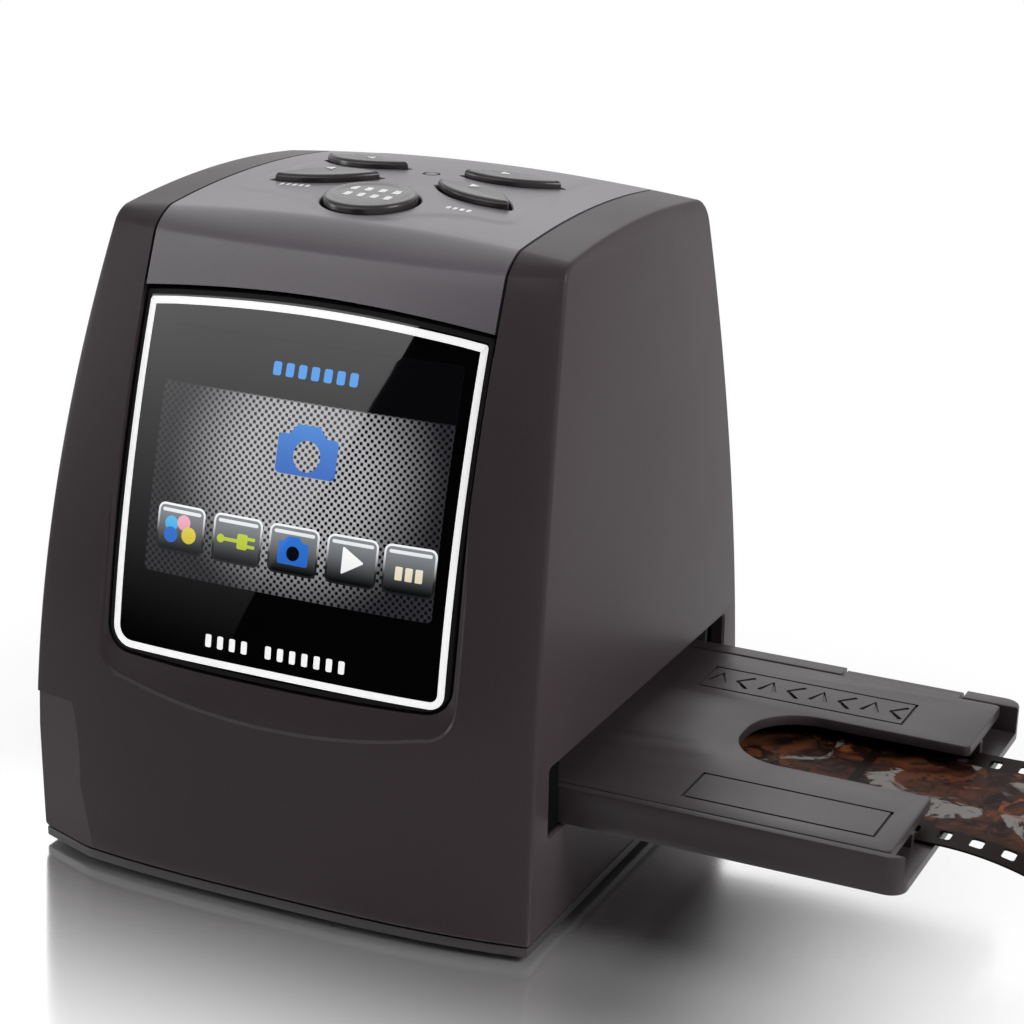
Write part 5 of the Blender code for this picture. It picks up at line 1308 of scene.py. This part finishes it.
# Base: the plain solid's own form, with the slanted corner carried on through it and its edges eased
baseNode = bpy.data.objects["base_cover"]
baseMesh = baseNode.data.copy()
baseMesh.transform(baseNode.matrix_world)
base = addPiece("baseCover", baseMesh)
weld(base)
combine(base, facetTool())
settle(base)
ease(base, 0.3)
settle(base)
dress(base, baseAbs, "scanner", "base_plastic", "base_cover")
print("base cut")

# Film: a perforated strip that droops past the end of the carrier
film = {"width": 35.0, "thickness": 0.3, "bottom": 19.0, "pitch": 4.75, "count": 32, "right": 115.0,
    "hole": (2.0, 2.8), "round": 0.5, "edge": 2.0, "droopStart": 93.6, "droopReach": 22.0, "cuts": 24,
    "droop": 1.8, "twist": 3.8, "pictureHalf": 12.2, "framePitch": 38.0, "framePlace": 95.0,
    "frameHalf": 18.2}
# Each layer of the picture: the size of its patches, where they start and stop, and their colour
negative = {"dark": "#170c08", "border": "#140b09",
    "layers": ((11.0, 0.4, 0.62, "#5c3523"), (6.0, 0.52, 0.58, "#1e110d"), (13.0, 0.57, 0.61, "#85827e"),
        (8.0, 0.6, 0.66, "#7c472b"), (2.6, 0.54, 0.62, "#35231c"))}


def negativeFilm(name):
    # Developed negative: near-black edges with warm brown frames between them, on slick acetate
    material, place = newMaterial(name)
    parts = addNode(material, "SeparateXYZ", {"Vector": place})
    pitch = film["framePitch"]
    along = addNode(material, "Math", {0: parts.outputs["X"], 1: (film["framePlace"] - pitch / 2) * mm},
        operation="SUBTRACT")
    repeat = addNode(material, "Math", {0: along, 1: pitch * mm}, operation="FLOORED_MODULO")
    offMiddle = addNode(material, "Math", {0: repeat, 1: pitch * mm / 2}, operation="SUBTRACT")
    gates = []
    for value, limit in ((offMiddle, film["frameHalf"]), (parts.outputs["Y"], film["pictureHalf"])):
        size = addNode(material, "Math", {0: value}, operation="ABSOLUTE")
        gates.append(addNode(material, "Math", {0: size, 1: limit * mm}, operation="LESS_THAN"))
    inFrame = addNode(material, "Math", {0: gates[0], 1: gates[1]}, operation="MULTIPLY")
    mixed = negative["dark"]
    for shapes, start, stop, colour in negative["layers"]:
        moved = addNode(material, "Mapping", {"Vector": place, "Location": (start, stop, shapes)})
        patches = addNode(material, "TexNoise",
            {"Vector": moved, "Scale": perMetre(shapes), "Detail": 4.0, "Distortion": 1.2})
        shade = addNode(material, "MapRange", {"Value": patches, "From Min": start, "From Max": stop})
        mixed = addNode(material, "Mix", {0: shade, 6: mixed, 7: colour}, data_type="RGBA")
    tone = addNode(material, "Mix", {0: inFrame, 6: negative["border"], 7: mixed}, data_type="RGBA")
    return addSurface(material,
        {"Base Color": tone, "Roughness": 0.4, "IOR": 1.48, "Specular IOR Level": 0.03})


acetateFilm = negativeFilm("acetateFilm")


def flatSheet(name, outlines, thickness):
    # A filled plane curve: the first outline with the others as holes in it
    curve = bpy.data.curves.new(name + "Curve", "CURVE")
    curve.dimensions = "2D"
    curve.fill_mode = "BOTH"
    curve.extrude = thickness / 2
    for outline in outlines:
        spline = curve.splines.new("POLY")
        spline.points.add(len(outline) - 1)
        for point, (u, v) in zip(spline.points, outline):
            point.co = (u, v, 0, 1)
        spline.use_cyclic_u = True
    holder = addPiece(name + "Holder", curve)
    graph = bpy.context.evaluated_depsgraph_get()
    mesh = bpy.data.meshes.new_from_object(holder.evaluated_get(graph))
    bpy.data.objects.remove(holder)
    bm = bmesh.new()
    bm.from_mesh(mesh)
    bmesh.ops.remove_doubles(bm, verts=bm.verts, dist=0.001)
    return bm


right = film["right"]
start = right - film["pitch"] * film["count"]
half = film["width"] / 2
outlines = [rectangle(start, -half, right, half)]
row = half - film["edge"] - film["hole"][1] / 2
for index in range(film["count"]):
    for side in (-1, 1):
        middle = (start + film["pitch"] * (index + 0.5), side * row)
        outlines.append(roundedBox(middle, *film["hole"], film["round"]))
strip = flatSheet("filmNegative", outlines, film["thickness"])
for step in range(film["cuts"]):
    at = film["droopStart"] + (right - film["droopStart"]) * step / film["cuts"]
    geometry = strip.verts[:] + strip.edges[:] + strip.faces[:]
    bmesh.ops.bisect_plane(strip, geom=geometry, plane_co=(at, 0, 0), plane_no=(1, 0, 0))
for vert in strip.verts:
    past = max(0.0, vert.co.x - film["droopStart"]) / film["droopReach"]
    fall = film["droop"] - film["twist"] * vert.co.y / half
    vert.co.z += film["bottom"] + film["thickness"] / 2 - fall * past**2
filmPiece = finishMesh("filmNegative", strip)
dress(filmPiece, acetateFilm, "film", "film_base", "film_strip")
print("film punched")

# Plain solids, by finish and by how far their edges are eased; a name may stand for a group of them
nodeFinishes = [(baseAbs, 0.0, "base_cover"), (siliconeRubber, 0.0, "foot"),
    (zincSteel, 0.1, "base_screw board_screw"), (zincSteel, 0.0, "carrier_hinge_pin"),
    (coatedGlass, 0.1, "lcd_panel"), (coatedGlass, 0.0, "lens_element"), (tinPlate, 0.1, "lcd_frame"),
    (tinPlate, 0.0, "usb_socket card_socket"), (whiteBoard, 0.0, "light_board"),
    (greenBoard, 0.0, "main_board button_board io_board sensor_board"), (whiteAbs, 0.2, "light_box"),
    (opalAcrylic, 0.1, "diffuser"), (phosphorSilicone, 0.2, "backlight_led"),
    (phosphorSilicone, 0.1, "status_led"), (smokedAcrylic, 0.1, "status_light_pipe"),
    (epoxyMoulding, 0.1, "image_processor switch"), (sensorSilicon, 0.1, "image_sensor"),
    (innerAbs, 0.2, "camera_bracket lower_guide upper_guide"), (blackAnodised, 0.15, "lens_barrel"),
    (polyimideFilm, 0.0, "sensor_ribbon button_ribbon"), (naturalNylon, 0.1, "plunger")]
# The solids that a finer piece stands for get the same materials
nodeFinishes += [(glossyAbs, 0.0, "scan_button left_button right_button"), (texturedAbs, 0.0, "housing"),
    (satinAbs, 0.0, "top_cover rear_cover"), (blackAcrylic, 0.0, "window_lens"),
    (carrierAbs, 0.0, "carrier_base carrier_cover"), (acetateFilm, 0.0, "film_strip")]


def finishNode(node, material, softness):
    # The node's own mesh keeps its corners; a modifier rounds what the eye sees
    weld(node)
    if softness:
        ease(node, softness, 3, 45).harden_normals = True
    node.data.shade_smooth()
    node.data.materials.clear()
    node.data.materials.append(material)


nodes = [piece for piece in bpy.data.objects if piece.type == "MESH"]
for material, softness, names in nodeFinishes:
    for name in names.split():
        for node in nodes:
            if node.name == name or node.name.startswith(name + "_") or node.name.endswith("_" + name):
                finishNode(node, material, softness)
bpy.data.objects.remove(innerBody)
print("plain solids finished")

# Studio: a pale glossy floor that fades into white, a white board behind and a card that the glass mirrors
studio = {"floor": -1.0, "size": 3000.0, "behind": 700.0, "height": 1800.0, "middle": (6.0, 0.0),
    "footprint": (47.5, 45.0), "fadeStart": 0.0, "fadeEnd": 66.0, "floorColour": "#f8f8f8", "mirror": 0.72,
    "cardPlace": -200.0, "cardLeft": -340.0, "cardRight": 45.0, "cardHeight": 270.0, "shelf": 195.0,
    "slant": ((-97.0, 0.0), (-93.0, 17.0), (-62.0, 123.0), (-48.5, 155.0), (-33.0, 195.0)), "cardGlow": 5.8,
    "roomGlow": 0.05}


def shownRays(material):
    # One for the rays that reach the eye by themselves, by a mirror or through glass
    rays = addNode(material, "LightPath").outputs
    seen = addNode(material, "Math", {0: rays["Is Camera Ray"], 1: rays["Is Glossy Ray"]},
        operation="MAXIMUM")
    return addNode(material, "Math", {0: seen, 1: rays["Is Transmission Ray"]}, operation="MAXIMUM")


def whiteGlow(material, share, board):
    # White wherever the share is one, and the board's own surface elsewhere
    glow = addNode(material, "Emission", {"Color": "#ffffff", "Strength": 1.0})
    mixed = addNode(material, "MixShader", {0: share, 1: board, 2: glow})
    addNode(material, "OutputMaterial", {"Surface": mixed})
    return material


def floorMaterial(name):
    # Back-painted glass: white with a mirror on it, lost in plain white away from the object's foot
    material, place = newMaterial(name)
    grain = addNode(material, "TexNoise", {"Vector": place, "Scale": perMetre(35.0), "Detail": 2.0})
    gloss = addNode(material, "MapRange", {"Value": grain, "To Min": 0.12, "To Max": 0.2})
    board = addNode(material, "BsdfPrincipled",
        {"Base Color": studio["floorColour"], "Roughness": gloss, "Metallic": studio["mirror"]})
    centre = Vector((*studio["middle"], studio["floor"])) * mm
    half = Vector((*studio["footprint"], 0)) * mm
    offset = addNode(material, "VectorMath", {0: place, 1: centre}, operation="SUBTRACT")
    size = addNode(material, "VectorMath", {0: offset}, operation="ABSOLUTE")
    past = addNode(material, "VectorMath", {0: size, 1: half}, operation="SUBTRACT")
    outside = addNode(material, "VectorMath", {0: past, 1: Vector((0, 0, 0))}, operation="MAXIMUM")
    away = addNode(material, "VectorMath", {0: outside}, operation="LENGTH")
    fade = addNode(material, "MapRange",
        {"Value": away, "From Min": studio["fadeStart"] * mm, "From Max": studio["fadeEnd"] * mm},
        interpolation_type="SMOOTHSTEP")
    blend = addNode(material, "Math", {0: shownRays(material), 1: fade}, operation="MULTIPLY")
    return whiteGlow(material, blend, board)


def boardMaterial(name):
    # Painted board: white to the eye, and a plain matte grey for the light that it returns
    material, place = newMaterial(name)
    grain = addNode(material, "TexNoise", {"Vector": place, "Scale": perMetre(90.0), "Detail": 2.0})
    gloss = addNode(material, "MapRange", {"Value": grain, "To Min": 0.8, "To Max": 0.9})
    board = addNode(material, "BsdfPrincipled", {"Base Color": "#c8c8c8", "Roughness": gloss})
    return whiteGlow(material, shownRays(material), board)


def cardMaterial(name):
    # Translucent cloth lit from behind: bright above and fading towards the floor
    material, place = newMaterial(name)
    parts = addNode(material, "SeparateXYZ", {"Vector": place})
    height = addNode(material, "MapRange",
        {"Value": parts.outputs["Z"], "From Min": 0.0, "From Max": studio["cardHeight"] * mm})
    curve = addNode(material, "Math", {0: height, 1: 1.5}, operation="POWER")
    strength = addNode(material, "Math", {0: curve, 1: studio["cardGlow"]}, operation="MULTIPLY")
    glow = addNode(material, "Emission", {"Color": "#ffffff", "Strength": strength})
    addNode(material, "OutputMaterial", {"Surface": glow})
    return material


def blackCloth(name):
    # Black velvet: it gives next to nothing back
    material, place = newMaterial(name)
    grain = addNode(material, "TexNoise", {"Vector": place, "Scale": perMetre(1.5)})
    tone = addNode(material, "Mix", {0: grain, 6: "#060606", 7: "#0b0b0b"}, data_type="RGBA")
    return addSurface(material, {"Base Color": tone, "Roughness": 1.0, "IOR": 1.0})


def stagePlane(name, corners, material):
    bm = bmesh.new()
    bm.faces.new([bm.verts.new(corner) for corner in corners])
    plane = finishMesh(name, bm)
    plane.data.materials.append(material)
    plane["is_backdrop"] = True
    return plane


wide = studio["size"]
level = studio["floor"]
back = studio["behind"]
tall = studio["height"]
floor = [(x, y, level) for x, y in rectangle(-wide, -wide, wide, back)]
stagePlane("studioFloor", floor, floorMaterial("paintedGlass"))
board = [(x, back, z) for x, z in rectangle(-wide, level, wide, tall)]
stagePlane("whiteBoard", board, boardMaterial("paintedBoard"))
at = studio["cardPlace"]
left = studio["cardLeft"]
right = studio["cardRight"]
tall = studio["cardHeight"]
shelf = studio["shelf"]
glowing = [(left, at, 0)] + [(x, at, z) for x, z in studio["slant"]]
glowing += [(right, at, shelf), (right, at, tall), (left, at, tall)]
card = stagePlane("litCloth", glowing, cardMaterial("litCloth"))
dark = [(x, at - 1, z) for x, z in rectangle(left, level, right, tall)]
flag = stagePlane("blackFlag", dark, blackCloth("blackVelvet"))
for piece in (card, flag):
    # Only what mirrors sees the cards, so that they shade nothing
    piece.visible_camera = piece.visible_diffuse = False
    piece.visible_shadow = piece.visible_transmission = False

# World: white where it is seen, and a dim plain room that lights the shaded sides a little
world = bpy.data.worlds.new("studioRoom")
bpy.context.scene.world = world
world.use_nodes = True
room = world.node_tree.nodes["Background"]
room.inputs["Color"].default_value = fromHex("#ffffff")
brightness = addNode(world, "Math", {0: shownRays(world), 1: studio["roomGlow"]}, operation="MAXIMUM")
world.node_tree.links.new(brightness.outputs[0], room.inputs["Strength"])

# Lamps: place, what each looks at, its width and height, and its power
lamps = {"topLamp": ((-200, 400, 580), (0, 0, 50), 700, 700, 2.2),
    "keyLamp": ((590, -50, 470), (20, 0, 40), 300, 300, 3.0),
    "fillLamp": ((-300, -560, 420), (0, 0, 50), 400, 400, 0.3),
    "leftLamp": ((-620, -180, 130), (0, 0, 50), 200, 200, 0.9)}
for name, (place, aim, width, height, power) in lamps.items():
    data = bpy.data.lights.new(name, "AREA")
    data.shape = "RECTANGLE"
    data.size = width * mm
    data.size_y = height * mm
    data.energy = power
    lamp = addPiece(name, data)
    lamp.location = Vector(place) * mm
    toward = Vector(aim) - Vector(place)
    lamp.rotation_euler = toward.to_track_quat("-Z", "Y").to_euler()
bpy.context.scene.view_settings.view_transform = "Standard"
print("studio lit")


def plainBounds(bounds):
    # The bounds as plain lists, which a file can hold
    if isinstance(bounds, dict):
        return {str(key): plainBounds(value) for key, value in bounds.items()}
    if isinstance(bounds, (list, tuple, Vector)):
        return [plainBounds(value) for value in bounds]
    return bounds


{"cad": plainBounds(cadBounds), "dressed": plainBounds(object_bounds())}
